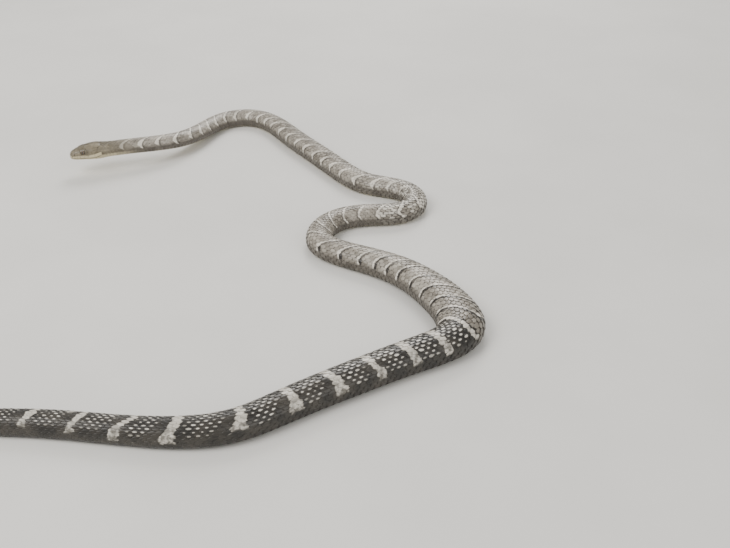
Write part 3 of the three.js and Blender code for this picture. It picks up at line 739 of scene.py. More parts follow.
def belly_template(columns=33, rows=5):
    """A wide thin plate: along, across, rim share and underside, with its faces."""
    along, across = np.meshgrid(np.linspace(1, -1, rows), np.linspace(-1, 1, columns), indexing="ij")
    top = np.stack([along, across, np.abs(along), np.zeros_like(along)], axis=-1).reshape(-1, 4)
    bottom = top + [0, 0, 0, 1]
    size = len(top)
    grid = np.arange(size).reshape(rows, columns)
    quads = np.stack([grid[:-1, :-1], grid[1:, :-1], grid[1:, 1:], grid[:-1, 1:]], axis=-1).reshape(-1, 4)
    edge = np.concatenate([grid[0], grid[1:, -1], grid[-1, -2::-1], grid[-2:0:-1, 0]])
    beside = np.roll(edge, -1)
    sides = np.stack([edge, beside, size + beside, size + edge], axis=-1)
    return np.vstack([top, bottom]), np.vstack([size + quads[:, [0, 3, 2, 1]], sides, quads])


def jaw_reach(rings):
    """How far up from the midline of the belly a scute may reach beside the jaw."""
    reach = np.full(len(rings), np.inf)
    for k in np.flatnonzero(WHOLE_LENGTH - rings < MOUTH_CORNER + 2):
        angle = head_angle(WHOLE_LENGTH - rings[k], np.array([CHIN_PLACE]))
        turns = np.linspace(float(angle[0]), math.pi, 40)
        steps = np.diff(solid_surface(np.full(40, rings[k]), turns), axis=0)
        reach[k] = np.linalg.norm(steps, axis=1).sum()
    return reach


def lay_belly_scutes(rings, ring_count):
    """The belly's broad scutes, one to each ring of scales, each lapping the one behind it."""
    template, faces = belly_template()
    count = len(rings)
    pitch, reach = pitch_at(rings)[:, None], jaw_reach(rings)[:, None]
    flank, belly = [ways[:, None] for ways in ways_at(rings)]
    along, across, rim, under = template.T[:, None]
    corner = np.maximum(np.abs(across) - SCUTE_CORNER_FROM, 0)
    s = rings[:, None] + pitch * (SCUTE_REACH * along + SCUTE_BOW * across ** 2 - SCUTE_CORNER * corner)
    way = flank + belly - across * np.minimum(belly + (1 + SCUTE_LAP - ROWS_REACH) * flank, reach)
    height = -0.5 * ROOT_SINK + ((1 - along) / 2) ** 0.8 * TIP_HEIGHT - under * SCALE_THICK
    points = place_on_skin(s, angle_at(s, way), height * pitch)
    girth = np.minimum(way, 2 * (flank + belly) - way) / flank
    facts = paint_facts(s, girth, along, across, rim, chance.random((count, 1)))
    u = BELLY_CELL + BELLY_CELL_HALF * across
    uvs = coat_unwrap(u, np.arange(count)[:, None], along, ring_count)
    return points.reshape(-1, 3), repeat_faces(faces, count, len(template)), facts, uvs


def joined(parts):
    """Several sets of corners, faces, facts and unwraps as one."""
    points, faces, facts, uvs = zip(*parts)
    starts = np.cumsum([0] + [len(corners) for corners in points])
    faces = [np.where(rows < 0, -1, rows + start) for rows, start in zip(faces, starts)]
    facts = {key: np.concatenate([np.ravel(part[key]) for part in facts]) for key in facts[0]}
    return np.vstack(points), np.vstack(faces), facts, np.vstack(uvs)


def build_coat():
    """The whole coat, parted into lengths, and the scales of the throat."""
    rings = scale_rings()
    roots = body_roots(rings)
    pieces = []
    cuts = np.linspace(0, len(rings), COAT_LENGTHS + 1).astype(int)
    scutes_end = np.searchsorted(rings, WHOLE_LENGTH - THROAT_START)
    for number, (low, high) in enumerate(zip(cuts, cuts[1:]), start=1):
        chosen = roots[(roots[:, 4] >= low) & (roots[:, 4] < high)]
        parts = [lay_scales(chosen, low, high - low),
                 lay_belly_scutes(rings[low:min(high, scutes_end)], high - low)]
        pieces.append(mesh_piece(f"scales_{number:02d}", *joined(parts)))
    throat = throat_roots(rings[scutes_end - 1])
    pieces.append(mesh_piece("throat_scales", *lay_scales(throat, 0, int(throat[:, 4].max()) + 1)))
    return pieces


def skin_columns():
    """Places round the skin from the back over the left side, the belly and the right side."""
    lips = [0.93, 0.955, 0.975, 0.988, 1, 1.012, 1.025, 1.045, 1.07]
    half = np.concatenate([np.linspace(0, 0.9, 24), lips, np.linspace(1.12, 2, 15)])
    return np.concatenate([half, (4 - half[1:-1])[::-1]])


def build_skin():
    """One closed skin from tail tip to snout, with the crease of the mouth."""
    body = np.concatenate([SKIN_TAIL_RINGS, np.arange(5.3, WHOLE_LENGTH - DEPTH_EASE[0], 5.0)])
    head_t = np.concatenate([np.arange(DEPTH_EASE[0], 3, -1.0), SKIN_SNOUT_RINGS])
    rings = np.concatenate([body, WHOLE_LENGTH - head_t])
    s, place = np.meshgrid(rings, skin_columns(), indexing="ij")
    t = WHOLE_LENGTH - s
    folded = np.where(place > 2, 4 - place, place)
    angle = angle_of_girth(s, folded)
    angle = angle + (head_angle(t, folded) - angle) * smooth_step(*PLACE_EASE, t)
    angle = np.where(place > 2, 2 * math.pi - angle, angle)
    crease = np.exp(-((folded - 1) / 0.02) ** 2) * smooth_step(MOUTH_CORNER + 1, MOUTH_CORNER - 5, t)
    points = place_on_skin(s, angle, -CREASE_DEPTH * crease * smooth_step(0.2, 3, t))
    middle = points.mean(axis=1, keepdims=True)
    narrowed = np.sqrt(1 - (np.maximum(TAIL_ROUNDING - s, 0) / TAIL_ROUNDING) ** 2)
    points = middle + (points - middle) * narrowed[..., None]
    points = np.vstack([points.reshape(-1, 3), points[0].mean(axis=0), points[-1].mean(axis=0)])
    facts = paint_facts(s, np.where(place > 2, place - 4, place), 0.0, 0.0, 1.0, 0.5, bare=1.0)
    facts = {key: np.append(values, [values[0, 0], values[-1, 0]]) for key, values in facts.items()}
    return mesh_piece("skin", points, tube_faces(*s.shape), facts, skin_unwrap(rings, s.shape[1]))


def skin_unwrap(rings, columns):
    """A corner's place in the unwrap, for each corner of each face: strips of body, then the head."""
    strip_length = (WHOLE_LENGTH - HEAD_STRIP) / UNWRAP_STRIPS
    width = 1 / (UNWRAP_STRIPS + 1)
    strip = np.minimum((rings[:-1] / strip_length).astype(int), UNWRAP_STRIPS)
    low = strip * strip_length
    run = np.where(strip == UNWRAP_STRIPS, HEAD_STRIP, strip_length + 5)
    v = np.stack([rings[:-1] - low, rings[1:] - low], axis=-1) / run[:, None] * 0.98 + 0.01
    c = np.arange(columns)
    u = np.stack([c, c + 1], axis=-1) / columns * 0.96 + 0.02
    corner_u = (strip[:, None, None] + u[None][..., [0, 0, 1, 1]]) * width
    corner_v = np.broadcast_to(v[:, None, [0, 1, 1, 0]], corner_u.shape)

    def fan(strip, sides, levels):
        fan_u = (strip + np.stack([u.mean(axis=1), u[:, sides[0]], u[:, sides[1]]], axis=-1)) * width
        return np.stack(np.broadcast_arrays(fan_u, levels), axis=-1).reshape(-1, 2)
    tail = fan(0, (0, 1), (0.002, 0.008, 0.008))
    snout = fan(UNWRAP_STRIPS, (1, 0), (0.998, 0.992, 0.992))
    return np.vstack([np.stack([corner_u, corner_v], axis=-1).reshape(-1, 2), tail, snout])


def to_plan(t, angle):
    """A place on the head in a flat plan, which has the snout tip in its middle."""
    return np.stack([t * np.cos(angle), t * np.sin(angle)], axis=-1)


def from_plan(flat):
    """The distance behind the snout tip and the angle of a place in the plan."""
    return np.hypot(flat[:, 0], flat[:, 1]), np.arctan2(flat[:, 1], flat[:, 0])


def surface_of_plan(flat):
    """The point of the solids' surface at a place in the plan."""
    t, angle = from_plan(flat)
    return solid_surface(WHOLE_LENGTH - t, angle)


def eased(flat, times=1):
    """An outline whose points are drawn towards their neighbours."""
    for _ in range(times):
        flat = 0.5 * flat + 0.25 * np.roll(flat, 1, axis=0) + 0.25 * np.roll(flat, -1, axis=0)
    return flat


def dense_outline(outline):
    """An outline in even steps, finer on small shields, with its corners eased."""
    t, place = np.array(outline, dtype=float).T
    angle = head_angle(t, place)
    corners = to_plan(t, angle)
    here = solid_surface(WHOLE_LENGTH - t, angle)
    sides = np.linalg.norm(np.roll(here, -1, axis=0) - here, axis=1)
    steps = np.maximum(2, np.ceil(sides / np.clip(sides.sum() / 80, 0.2, 0.4))).astype(int)
    flat = [a + (b - a) * (np.arange(n) / n)[:, None]
            for a, b, n in zip(corners, np.roll(corners, -1, axis=0), steps)]
    return eased(np.vstack(flat), 2)


def place_by_level(t, angle, level):
    """The place round the head, told by level on the rounded front of the snout."""
    place = place_round_head(t, angle)
    mouth = NECK_LIFT + smooth_table(MOUTH, 1, t)
    top = NECK_LIFT + smooth_table(HEAD_FORM, 2, np.maximum(t, 3))
    by_level = 1 - 0.6 * (level - mouth) / (top - mouth)
    return place + (by_level - place) * smooth_step(6, 3, t)


def shield_part(outline, raised, cell, cells_across):
    """One raised shield as a closed plate that follows the head."""
    eye_reach = EYE_OPENING + EYE_RIM - (BROW_OVERHANG if raised == BROW_RAISE else 0)
    flat = clear_of(dense_outline(outline), (EYE_T, EYE_ANGLE, eye_reach, eye_reach), False)
    flat = eased(clear_of(flat, (NOSTRIL_PLACE[0], NOSTRIL_ANGLE, *NOSTRIL_REACH), True))
    centre = flat.mean(axis=0)
    reach = np.linalg.norm(surface_of_plan(flat) - surface_of_plan(centre[None]), axis=1)
    groove = SHIELD_GROOVE / np.maximum(reach, 0.6)
    flat = centre + (flat - centre) * (1 - groove)[:, None]
    if np.cross(flat - centre, np.roll(flat, -1, axis=0) - centre).sum() > 0:
        flat, reach = flat[::-1], reach[::-1]
    corners = len(flat)
    rows, rims, heights = [centre[None]], [[0.0]], [[raised]]
    deepest = SHIELD_PROFILE[0][0]
    shrink = np.minimum(1, 0.55 * reach / deepest) / np.maximum(reach, 0.3)
    plan = [((1 - deepest * shrink) * share, 1, 0.5 * share) for share in INNER_RINGS]
    plan += [(1 - inset * shrink, share, rim) for inset, share, rim in SHIELD_PROFILE]
    for out, share, rim in plan:
        rows.append(centre + (flat - centre) * out[:, None])
        rims.append([rim] * corners)
        heights.append(raised * share + 0.1 * (1 - out ** 2))
    rows = np.vstack(rows + [flat, centre[None]])
    rims = np.concatenate(rims + [[1.0] * corners, [0.0]])
    heights = np.concatenate(heights + [[-SHIELD_SINK] * (corners + 1)])
    t, angle = from_plan(rows)
    s = WHOLE_LENGTH - t
    points = place_on_skin(s, angle, heights)
    across = rows - centre
    across /= np.abs(across).max()
    place = place_by_level(WHOLE_LENGTH - s, angle, points[:, 2])
    facts = paint_facts(s, place, -across[:, 0], across[:, 1], rims, chance.random())
    column, row = cell % cells_across, cell // cells_across
    uvs = (np.array([column, row]) + 0.5 + CELL_FILL * across) / cells_across
    return points, ring_faces(len(plan) + 1, corners), facts, uvs


def mirrored(outline):
    """The same shield on the other side of the head."""
    return [(t, -place) for t, place in outline][::-1]


def lip_outlines(row):
    """The shields along a lip. Those below the eye reach up to its rim."""
    top, bottom = row["band"]
    middle = (top + bottom) / 2
    outlines = []
    for front, rear in zip(row["seams"], row["seams"][1:]):
        upper = [front + 0.3] + [t for t, _ in LIP_TOP if front + 0.3 < t < rear + 0.3] + [rear + 0.3]
        tops = [float(straight_table(LIP_TOP, t)) if top < 1 else top for t in upper]
        outlines.append([(front, bottom), (front + 0.15, middle), *zip(upper, tops),
                         (rear + 0.15, middle), (rear, bottom)])
    return outlines


def build_shields():
    """All the shields of the head as one piece."""
    pairs = [*CROWN_PAIRS.values(), *CHEEK_PAIRS.values(), *CHIN_PAIRS.values()]
    pairs += lip_outlines(UPPER_LIP) + lip_outlines(LOWER_LIP)
    plans = [(outline, SHIELD_RAISE) for outline in (FRONTAL, ROSTRAL, MENTAL)]
    for outline, raised in [(outline, SHIELD_RAISE) for outline in pairs] + [(BROW, BROW_RAISE)]:
        plans += [(outline, raised), (mirrored(outline), raised)]
    cells_across = math.ceil(math.sqrt(len(plans)))
    parts = [shield_part(*plan, cell, cells_across) for cell, plan in enumerate(plans)]
    return mesh_piece("head_shields", *joined(parts))


def head_left():
    """The level direction to the left of the head."""
    ahead = middle_line(np.array([WHOLE_LENGTH]))[0] - middle_line(np.array([WHOLE_LENGTH - 10]))[0]
    ahead /= np.linalg.norm(ahead)
    return np.array([-ahead[1], ahead[0], 0])


def head_point(t, place, side, sunk=0.0):
    """A point of the head's surface on one side, moved inward by sunk."""
    angle = float(head_angle(np.array([t]), np.array([place]))[0]) * side
    point = solid_surface(np.array([WHOLE_LENGTH - t]), np.array([angle]))[0]
    return point - side * head_left() * sunk


def eye_opening():
    """Where the left eye meets the skin: distance behind the snout, angle, radius, and skin per radian."""
    centre = head_point(*EYE_PLACE, 1, EYE_SUNK)
    t, angle = np.meshgrid(np.linspace(EYE_PLACE[0] - 3, EYE_PLACE[0] + 3, 61), np.linspace(0.8, 2, 241))
    away = np.linalg.norm(solid_surface(WHOLE_LENGTH - t, angle) - centre, axis=-1)
    nearest = np.unravel_index(np.argmin(away), away.shape)
    t, angle = float(t[nearest]), float(angle[nearest])
    near = solid_surface(np.full(2, WHOLE_LENGTH - t), np.array([angle - 0.05, angle + 0.05]))
    radius = math.sqrt(EYE_RADIUS ** 2 - away.min() ** 2)
    return t, angle, radius, float(np.linalg.norm(near[1] - near[0])) / 0.1


EYE_T, EYE_ANGLE, EYE_OPENING, EYE_GIRTH = eye_opening()
NOSTRIL_ANGLE = float(head_angle(*[np.array([value]) for value in NOSTRIL_PLACE])[0])


def clear_of(flat, opening, seam_inside):
    """Moves the points of an outline that fall in an opening of the head out to its edge."""
    middle_t, middle_angle, along_reach, around_reach = opening
    t, angle = from_plan(flat)
    middle = middle_angle * np.sign(angle)
    along, around = (t - middle_t) / along_reach, (angle - middle) * EYE_GIRTH / around_reach
    if seam_inside:
        # A seam that crosses the opening is first drawn back to its own shield's side
        inside = np.maximum(1 - np.hypot(along, around), 0)
        along = along + np.sign(t.mean() - middle_t) * inside
    grow = np.maximum(1, 1 / np.maximum(np.hypot(along, around), 0.02))
    return to_plan(middle_t + along * grow * along_reach, middle + around * grow * around_reach / EYE_GIRTH)


def laid_round(name, t, angle, rows, looped, segments=64):
    """Rings laid on the head round one place. Each row is its reach along and round, and its height."""
    turn = full_turn(segments)
    points = []
    for along, around, height in rows:
        s = WHOLE_LENGTH - t + along * np.cos(turn)
        point, normal = surface_and_normal(s, angle + around * np.sin(turn) / EYE_GIRTH)
        points.append(point + normal * height)
    if not looped:
        points += [points[0].mean(axis=0), points[-1].mean(axis=0)]
    return mesh_piece(name, np.vstack(points), tube_faces(len(rows), segments, looped), {})


def eyeball(name, centre, gaze, segments=64):
    """A ball turned round the line of sight. Each corner knows its angle from the pupil's middle."""
    first = np.cross(gaze, [0, 0, 1.0])
    first /= np.linalg.norm(first)
    second = np.cross(gaze, first)
    turn = full_turn(segments)
    circle = np.cos(turn)[:, None] * first + np.sin(turn)[:, None] * second
    steps = np.radians(np.concatenate([np.linspace(0.5, 60, 40), np.linspace(65, 179.5, 24)]))
    middles = [centre + gaze * (EYE_RADIUS * math.cos(a)) for a in steps]
    points = [middle + circle * (EYE_RADIUS * math.sin(a)) for middle, a in zip(middles, steps)]
    from_middle = np.concatenate([np.repeat(steps, segments), steps[[0, -1]]])
    points = np.vstack([*points, middles[0], middles[-1]])
    return mesh_piece(name, points, tube_faces(len(steps), segments), {"from_middle": from_middle})


def build_eyes():
    """Each eye is a ball that bulges a little, held in a dark rim that follows the skin."""
    balls, rims = [], []
    turns = np.radians(np.linspace(0, 360, 17))[:-1]
    rows = [(EYE_OPENING + EYE_RIM * math.sin(a), EYE_OPENING + EYE_RIM * math.sin(a),
             EYE_RIM_LEVEL + EYE_RIM * math.cos(a)) for a in turns]
    for name, side in SIDES:
        _, gaze = surface_and_normal(WHOLE_LENGTH - EYE_T, side * EYE_ANGLE)
        gaze = gaze * [1, 1, 0.5]
        gaze /= np.linalg.norm(gaze)
        ball = eyeball(f"eyeball_{name}", head_point(*EYE_PLACE, side, EYE_SUNK), gaze)
        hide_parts(f"eye_{name}")
        balls.append(ball)
        rims.append(laid_round(f"eye_rim_{name}", EYE_T, side * EYE_ANGLE, rows, True))
    return balls, rims


def build_nostrils():
    """A hollow in the side of the snout, each side, whose dark finish is painted shade."""
    return [laid_round(f"nostril_{name}", NOSTRIL_PLACE[0], side * NOSTRIL_ANGLE, NOSTRIL_RINGS, False, 32)
            for name, side in SIDES]


class Shade:
    """A number or colour that a node gives. Arithmetic on it adds the nodes that work it out."""

    def __init__(self, tree, socket):
        self.tree = tree
        self.socket = socket

    def __add__(self, other):
        return self.tree.math("ADD", self, other)

    def __sub__(self, other):
        return self.tree.math("SUBTRACT", self, other)

    def __rsub__(self, other):
        return self.tree.math("SUBTRACT", other, self)

    def __mul__(self, other):
        return self.tree.math("MULTIPLY", self, other)

    def __truediv__(self, other):
        return self.tree.math("DIVIDE", self, other)

    def __abs__(self):
        return self.tree.math("ABSOLUTE", self)

    def root(self):
        """The square root."""
        return self.tree.math("SQRT", self)

    def fraction(self):
        """What is left over a whole number."""
        return self.tree.math("FRACT", self)

    def at_least(self, other):
        """The larger of the two."""
        return self.tree.math("MAXIMUM", self, other)

    def rising(self, low, high):
        """0 below low, 1 above high, smooth between."""
        made = self.tree.node("ShaderNodeMapRange", interpolation_type="SMOOTHSTEP")
        self.tree.fill(made.inputs, (self, low, high, 0.0, 1.0))
        return Shade(self.tree, made.outputs[0])

    def falling(self, low, high):
        """1 below low, 0 above high, smooth between."""
        return 1.0 - self.rising(low, high)


class Tree:
    """Short ways to add nodes to one node tree."""

    def __init__(self, tree):
        self.tree = tree

    def node(self, kind, **settings):
        """A new node with its settings."""
        made = self.tree.nodes.new(kind)
        for key, value in settings.items():
            setattr(made, key, value)
        return made

    def feed(self, socket, value):
        """Links a value of the tree to a socket, or sets a plain number or colour on it."""
        if isinstance(value, Shade):
            self.tree.links.new(value.socket, socket)
        elif isinstance(value, tuple) and socket.type == "RGBA":
            socket.default_value = value + (1.0,)
        else:
            socket.default_value = value

    def fill(self, sockets, values):
        """Feeds several sockets in turn."""
        for socket, value in zip(sockets, values):
            self.feed(socket, value)

    def math(self, operation, *values):
        made = self.node("ShaderNodeMath", operation=operation)
        self.fill(made.inputs, values)
        return Shade(self, made.outputs[0])

    def mix(self, share, a, b):
        """Colour a where share is 0, b where it is 1."""
        made = self.node("ShaderNodeMix", data_type="RGBA")
        self.fill((made.inputs["Factor"], made.inputs[6], made.inputs[7]), (share, a, b))
        return Shade(self, made.outputs[2])

    def blend(self, share, a, b):
        """Number a where share is 0, b where it is 1."""
        made = self.node("ShaderNodeMix", data_type="FLOAT")
        self.fill((made.inputs["Factor"], made.inputs[2], made.inputs[3]), (share, a, b))
        return Shade(self, made.outputs[0])

    def fact(self, name):
        """A value that the mesh carries at its corners."""
        return Shade(self, self.node("ShaderNodeAttribute", attribute_name=name).outputs["Fac"])

    def noise(self, scale, detail=3.0, roughness=0.55):
        """Cloudy noise that is fixed to the object."""
        made = self.node("ShaderNodeTexNoise")
        where = Shade(self, self.node("ShaderNodeTexCoord").outputs["Object"])
        sockets = [made.inputs[name] for name in ("Vector", "Scale", "Detail", "Roughness")]
        self.fill(sockets, (where, scale, detail, roughness))
        return Shade(self, made.outputs["Fac"])

    def placed(self, group, output, values):
        """A shared group with a material's own values."""
        made = self.node("ShaderNodeGroup", node_tree=group)
        for name, value in values.items():
            made.inputs[name].default_value = value
        return Shade(self, made.outputs[output])


def new_group(name, values, output, kind):
    """A node group with named input values and one output."""
    group = bpy.data.node_groups.new(name, "ShaderNodeTree")
    for label, value in values.items():
        socket = group.interface.new_socket(name=label, in_out="INPUT", socket_type="NodeSocketFloat")
        socket.default_value = value
    group.interface.new_socket(name=output, in_out="OUTPUT", socket_type=kind)
    tree = Tree(group)
    inlet = tree.node("NodeGroupInput")
    given = {label: Shade(tree, inlet.outputs[label]) for label in values}
    return group, tree, given, tree.node("NodeGroupOutput").inputs[output]


def srgb(red, green, blue):
    """A colour given as 0 to 255 values, in the linear values that shaders take."""
    def linear(value):
        value /= 255
        return value / 12.92 if value <= 0.04045 else ((value + 0.055) / 1.055) ** 2.4
    return (linear(red), linear(green), linear(blue))


BLACK = srgb(40, 38, 35)
SOFT_BLACK = srgb(66, 62, 56)
SPOT = srgb(234, 229, 218)
SPOT_DIM = srgb(120, 116, 108)
PALE = srgb(212, 207, 196)
PALE_SHADE = srgb(146, 140, 128)
TAN = srgb(158, 151, 140)
TAN_DARK = srgb(112, 105, 94)
TAN_PALE = srgb(196, 190, 178)
LINE_DARK = srgb(40, 36, 31)
LINE_PALE = srgb(224, 218, 206)
# Painted shade for the low flank, where it turns down towards the floor
LOW_FLANK_PAINTED_SHADE = srgb(70, 64, 57)
BELLY_REAR = srgb(76, 73, 67)
BELLY_FRONT = srgb(204, 196, 174)
CROWN = srgb(134, 125, 105)
CROWN_DARK = srgb(100, 92, 74)
LIP = srgb(204, 192, 160)
SEAM = srgb(52, 45, 35)
IRIS = srgb(128, 92, 46)
IRIS_DARK = srgb(74, 48, 22)
IRIS_EDGE = srgb(26, 18, 12)
IRIS_INNER = srgb(158, 120, 62)
PUPIL = srgb(5, 4, 4)
FLOOR = srgb(226, 225, 221)
FLOOR_LIGHT = srgb(232, 231, 227)


def markings_group():
    """The colours of the animal, from the facts that each corner carries."""
    edges = {"Scale edge": 1.0}
    group, tree, given, result = new_group("cobra markings", edges, "Colour", "NodeSocketColor")
    chance_of = tree.fact("scale_chance")
    rim = tree.fact("scale_rim")
    from_back = tree.fact("from_back")
    way = tree.fact("way_along")
    cloud = tree.noise(38.0, 3.0)
    wide_cloud = tree.noise(14.0, 2.0)
    grain = tree.noise(420.0, 4.0, 0.7)

    # How far ahead of the middle of the nearest band, in millimetres
    in_front = way.rising(*WIDE_TO_THIN)
    phase = tree.blend(tree.blend(in_front, 0.42, 0.2), tree.fact("band_phase"), tree.fact("root_phase"))
    share = (phase + 0.5).fraction() - 0.5
    wander = (tree.noise(85.0, 2.0) - 0.5) * tree.blend(in_front, 5.0, 3.0)
    ahead = share * tree.fact("band_step") + wander
    half = tree.fact("band_half") + (chance_of - 0.5) * 0.8
    inside = half - abs(ahead)
    above_end = (tree.fact("band_end") - from_back) * 30.0 + wander * 1.2
    in_band = inside.rising(-0.7, 0.7) * above_end.rising(-2.0, 1.5)
    in_band = in_band.at_least(tree.fact("half_band").rising(0.5, 1.5))

    # Rear half: black, with pale bands, and a pale grain on most scales between them
    along = (tree.fact("scale_along") + 0.32) / 0.5
    across = tree.fact("scale_across") / (0.48 - along * 0.1)
    spread = (across * across + along * along).root() + (tree.noise(330.0, 2.0) - 0.5) * 0.8
    size = tree.fact("spot_size")
    spot = spread.falling(size - 0.28, size + 0.14) * size.rising(0.1, 0.3) * (1.0 - tree.fact("bare_skin"))
    spot_colour = tree.mix(tree.fact("spot_light"), SPOT_DIM, SPOT)
    pale = tree.mix(rim.rising(0.78, 1.0) * 0.3, PALE, PALE_SHADE)
    pale = tree.mix(grain.rising(0.42, 0.75) * 0.6, pale, PALE_SHADE)
    foot = from_back.rising(0.1, 0.5) * tree.noise(150.0, 3.0).rising(0.38, 0.6)
    pale = tree.mix(foot * way.falling(*FEET_DIM_UNTIL), pale, SPOT_DIM)
    dark = tree.mix(cloud.rising(0.35, 0.7), BLACK, SOFT_BLACK)
    rear = tree.mix(in_band, tree.mix(spot, dark, spot_colour), pale)

    # Front half: the edges of its thin pale lines, dark behind and on the first also ahead
    low_down = from_back.rising(0.38, 0.5) * from_back.falling(0.62, 0.74)
    behind = ahead * -1.0 - half
    edge_width = tree.fact("edge_behind") + low_down * 1.2
    edge = behind.rising(-0.5, 0.5) * behind.falling(edge_width - 0.7, edge_width + 0.7)
    before = ahead - half
    edge_before = before.rising(-0.5, 0.5) * before.falling(2.0, 3.4)
    edge_before = edge_before * tree.fact("edge_ahead").rising(0.5, 1.5)
    strength = tree.blend(way.rising(*STRONG_EDGES_UNTIL), 1.0, 0.6)
    strength = strength.at_least(low_down * way.falling(*LOW_EDGES_UNTIL))
    patchy = tree.blend(cloud.rising(0.36, 0.56), 0.75, 1.0)
    edge = (edge * strength * patchy).at_least(edge_before) * from_back.falling(0.64, 0.76)

    # Front half: its grey and tan ground, netted with dark next to the black half and on the far bend
    far = way.rising(*FAR_BEND_FROM) * way.falling(*FAR_BEND_UNTIL)
    nearest_black = way.falling(*DUSK_UNTIL)
    netted = nearest_black.at_least(far)
    ground = tree.mix(cloud.rising(0.3, 0.72), TAN, TAN_DARK)
    ground = tree.mix(chance_of.rising(0.2, 1.0) * 0.4, ground, TAN_PALE)
    ground = tree.mix(wide_cloud.rising(0.45, 0.6) * 0.25, ground, TAN_PALE)
    ground = tree.mix(far * tree.blend(chance_of.rising(0.25, 0.75), 0.05, 0.95), ground, PALE)
    ground = tree.mix(nearest_black * 0.4, ground, TAN_DARK)
    flecked = rim + (tree.noise(190.0, 3.0, 0.75) - 0.5) * 2.0
    flecked = flecked + (netted * 0.1 + far * 0.06)
    ground = tree.mix(flecked.rising(0.88, 1.08) * tree.blend(netted, 0.7, 0.92), ground, LINE_DARK)
    # The low flank is darkened towards the floor: painted shade
    ground = tree.mix(from_back.rising(0.54, 0.74) * 0.82, ground, LOW_FLANK_PAINTED_SHADE)
    front = tree.mix(in_band * 0.95, ground, LINE_PALE)
    front = tree.mix(edge, front, LINE_DARK)

    # The black edging of the band where rear meets front lies on the rear half too
    rear = tree.mix(edge * way.rising(*MEETING_EDGE_FROM), rear, BLACK)
    forward = (way + share * 0.004).rising(*REAR_TO_FRONT)
    back = tree.mix(forward, rear, front)

    # Underside, and the head with its dark seams and pale lips
    belly = tree.mix(way.rising(*BELLY_PALES), BELLY_REAR, BELLY_FRONT)
    belly = tree.mix(cloud.rising(0.45, 0.62) * 0.4, belly, TAN_DARK)
    back = tree.mix(from_back.rising(0.94, 1.1), back, belly)
    crown = tree.mix(cloud.rising(0.38, 0.62), CROWN, CROWN_DARK)
    crown = tree.mix(grain.rising(0.5, 0.8) * 0.35, crown, TAN)
    face = tree.mix(from_back.rising(0.74, 0.84) * 0.9, crown, LIP)
    face = tree.mix(rim.rising(0.93, 1.0) * 0.6, face, SEAM)
    on_head = way.rising(*[WHOLE_LENGTH / 1000 - distance for distance in HEAD_COLOURS])
    coloured = tree.mix(on_head, back, face)

    # Each scale is a little lighter or darker than the next, and its edge is shaded
    lighter = tree.node("ShaderNodeHueSaturation")
    tree.feed(lighter.inputs["Value"], (chance_of - 0.5) * 0.24 + (grain - 0.5) * 0.25 + 1.0)
    tree.feed(lighter.inputs["Color"], coloured)
    edge_shade = rim.rising(0.9, 1.0) * given["Scale edge"] * 0.3
    tree.feed(result, tree.mix(edge_shade, Shade(tree, lighter.outputs[0]), SOFT_BLACK))
    return group


def relief_group():
    """Fine relief: a coarser and a finer leathery grain, as a height from 0 to 1."""
    group, tree, given, result = new_group("fine relief", {"Grain": 1.0}, "Height", "NodeSocketFloat")
    total = tree.noise(900.0, 4.0, 0.6) * 0.6 + tree.noise(3200.0, 2.0, 0.6) * 0.4
    tree.feed(result, total * given["Grain"])
    return group


def sheen_group():
    """Roughness that wanders a little over the surface, as a well kept skin has."""
    limits = {"Least": 0.3, "Most": 0.45}
    group, tree, given, result = new_group("wandering sheen", limits, "Roughness", "NodeSocketFloat")
    patches = (tree.noise(60.0) * 0.6 + tree.noise(700.0) * 0.4).rising(0.3, 0.7)
    tree.feed(result, tree.blend(patches, given["Least"], given["Most"]))
    return group


def new_material(name):
    """A material, short ways to add to it, and the inputs of its shader."""
    material = bpy.data.materials.new(name)
    material.use_nodes = True
    return material, Tree(material.node_tree), material.node_tree.nodes["Principled BSDF"].inputs


def skin_material(name, grain, least, most, edge, bump):
    """Skin or scales, with the animal's markings."""
    material, tree, shader = new_material(name)
    tree.feed(shader["Base Color"], tree.placed(markings, "Colour", {"Scale edge": edge}))
    tree.feed(shader["Roughness"], tree.placed(sheen, "Roughness", {"Least": least, "Most": most}))
    raised = tree.node("ShaderNodeBump")
    raised.inputs["Strength"].default_value = bump
    raised.inputs["Distance"].default_value = 0.0002
    tree.feed(raised.inputs["Height"], tree.placed(relief, "Height", {"Grain": grain}))
    tree.feed(shader["Normal"], Shade(tree, raised.outputs["Normal"]))
    return material


def eye_material():
    """A dark eye: large round pupil, bronze iris with fine rays, and a clear wet surface."""
    material, tree, shader = new_material("eye")
    out = tree.fact("from_middle")
    iris = tree.mix(tree.noise(2400.0, 4.0, 0.7).rising(0.3, 0.7), IRIS_DARK, IRIS)
    iris = tree.mix(out.rising(0.66, 0.82), iris, IRIS_EDGE)
    iris = tree.mix(out.falling(0.54, 0.6) * 0.8, iris, IRIS_INNER)
    tree.feed(shader["Base Color"], tree.mix(out.falling(0.5, 0.525), iris, PUPIL))
    shader["Roughness"].default_value = 0.12
    shader["Coat Weight"].default_value = 1.0
    shader["Coat Roughness"].default_value = 0.03
    return material


def plain_material(name, colour, roughness):
    """A plain dark finish with a slight wander in tone: the moist rim of an eye, and the painted shade in a
    nostril.
    """
    material, tree, shader = new_material(name)
    darker = tuple(value * 0.6 for value in colour)
    tree.feed(shader["Base Color"], tree.mix(tree.noise(900.0).rising(0.35, 0.65), colour, darker))
    shader["Roughness"].default_value = roughness
    return material


def dress(piece, material):
    """Gives a piece its material and the body it rides on."""
    piece.data.materials.append(material)
    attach(piece, "root")


def added(name, data, place=(0, 0, 0), turn=(0, 0, 0)):
    """An object put in the scene."""
    made = bpy.data.objects.new(name, data)
    made.location = place
    made.rotation_euler = turn
    bpy.context.scene.collection.objects.link(made)
    return made


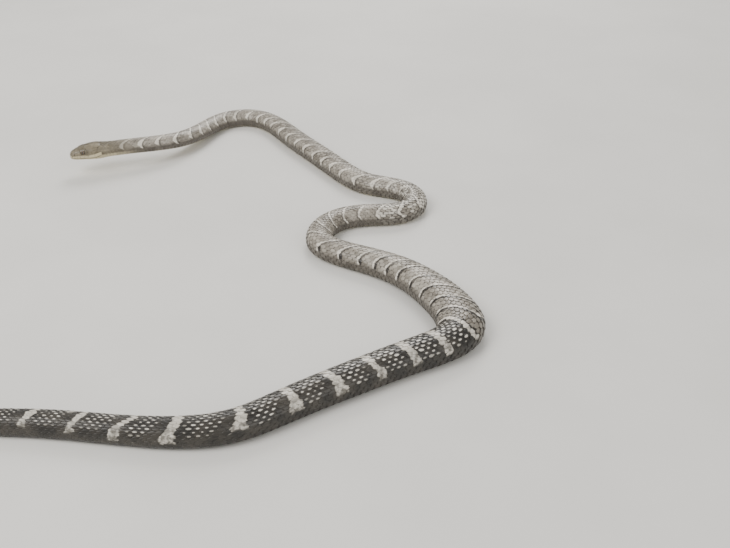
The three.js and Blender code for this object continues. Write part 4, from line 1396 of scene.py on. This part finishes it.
def build_stage():
    """A pale floor, soft lights round it, and the camera at the viewpoint of the photograph."""
    reach = FLOOR_REACH
    mesh = bpy.data.meshes.new("floor")
    mesh.from_pydata([(-reach, -reach, 0), (reach, -reach, 0), (reach, reach, 0), (-reach, reach, 0)], [],
                     [(0, 1, 2, 3)])
    material, tree, shader = new_material("pale floor")
    tree.feed(shader["Base Color"], tree.mix(tree.noise(3.0).rising(0.3, 0.7), FLOOR, FLOOR_LIGHT))
    shader["Roughness"].default_value = 0.75
    mesh.materials.append(material)
    floor = added("floor", mesh, FLOOR_PLACE)

    for name, place, size, power in LIGHTS:
        light = bpy.data.lights.new(name, "AREA")
        light.size = size
        light.energy = power
        light.color = WARM_WHITE
        tip = math.atan2(math.hypot(*place[:2]), place[2])
        added(name, light, place, (tip, 0, math.atan2(place[1], place[0]) + math.pi / 2))
    world = bpy.data.worlds.new("studio")
    world.use_nodes = True
    background = world.node_tree.nodes["Background"].inputs
    background["Color"].default_value = (0.88, 0.87, 0.85, 1)
    background["Strength"].default_value = 0.66
    bpy.context.scene.world = world

    lens = bpy.data.cameras.new("camera")
    lens.sensor_width = FILM_WIDTH
    lens.lens = FOCAL_PIXELS / PHOTO_WIDTH * FILM_WIDTH
    lens.clip_end = 60
    turn = (math.radians(90 - LOOKING_DOWN), 0, 0)
    bpy.context.scene.camera = added("camera", lens, CAMERA_PLACE, turn)


FLESH = ["tail_tip", "tail_base", *[f"body_{k:02d}" for k in range(1, 14)], "neck", "head", "lower_jaw"]

markings = markings_group()
relief = relief_group()
sheen = sheen_group()
scale_finish = skin_material("scales", grain=1.0, least=0.26, most=0.4, edge=1.0, bump=0.25)
skin_finish = skin_material("skin between scales", grain=1.0, least=0.45, most=0.6, edge=0.0, bump=0.5)
shield_finish = skin_material("head shields", grain=1.0, least=0.24, most=0.36, edge=0.6, bump=0.2)
eye_finish = eye_material()
rim_finish = plain_material("eye rim", srgb(28, 23, 18), 0.35)
# The nostril's near-black colour is painted shade for the deep opening of the nose
nostril_painted_shade = plain_material("nostril", srgb(12, 9, 7), 0.9)

skin = build_skin()
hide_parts(*FLESH)
dress(skin, skin_finish)
for number, coat in enumerate(build_coat()):
    dress(coat, scale_finish)
dress(build_shields(), shield_finish)
eyeballs, eye_rims = build_eyes()
for pieces, finish, slot in ((eyeballs, eye_finish, "eye"), (eye_rims, rim_finish, "head_skin"),
                             (build_nostrils(), nostril_painted_shade, "head_skin")):
    for piece in pieces:
        dress(piece, finish)
build_stage()
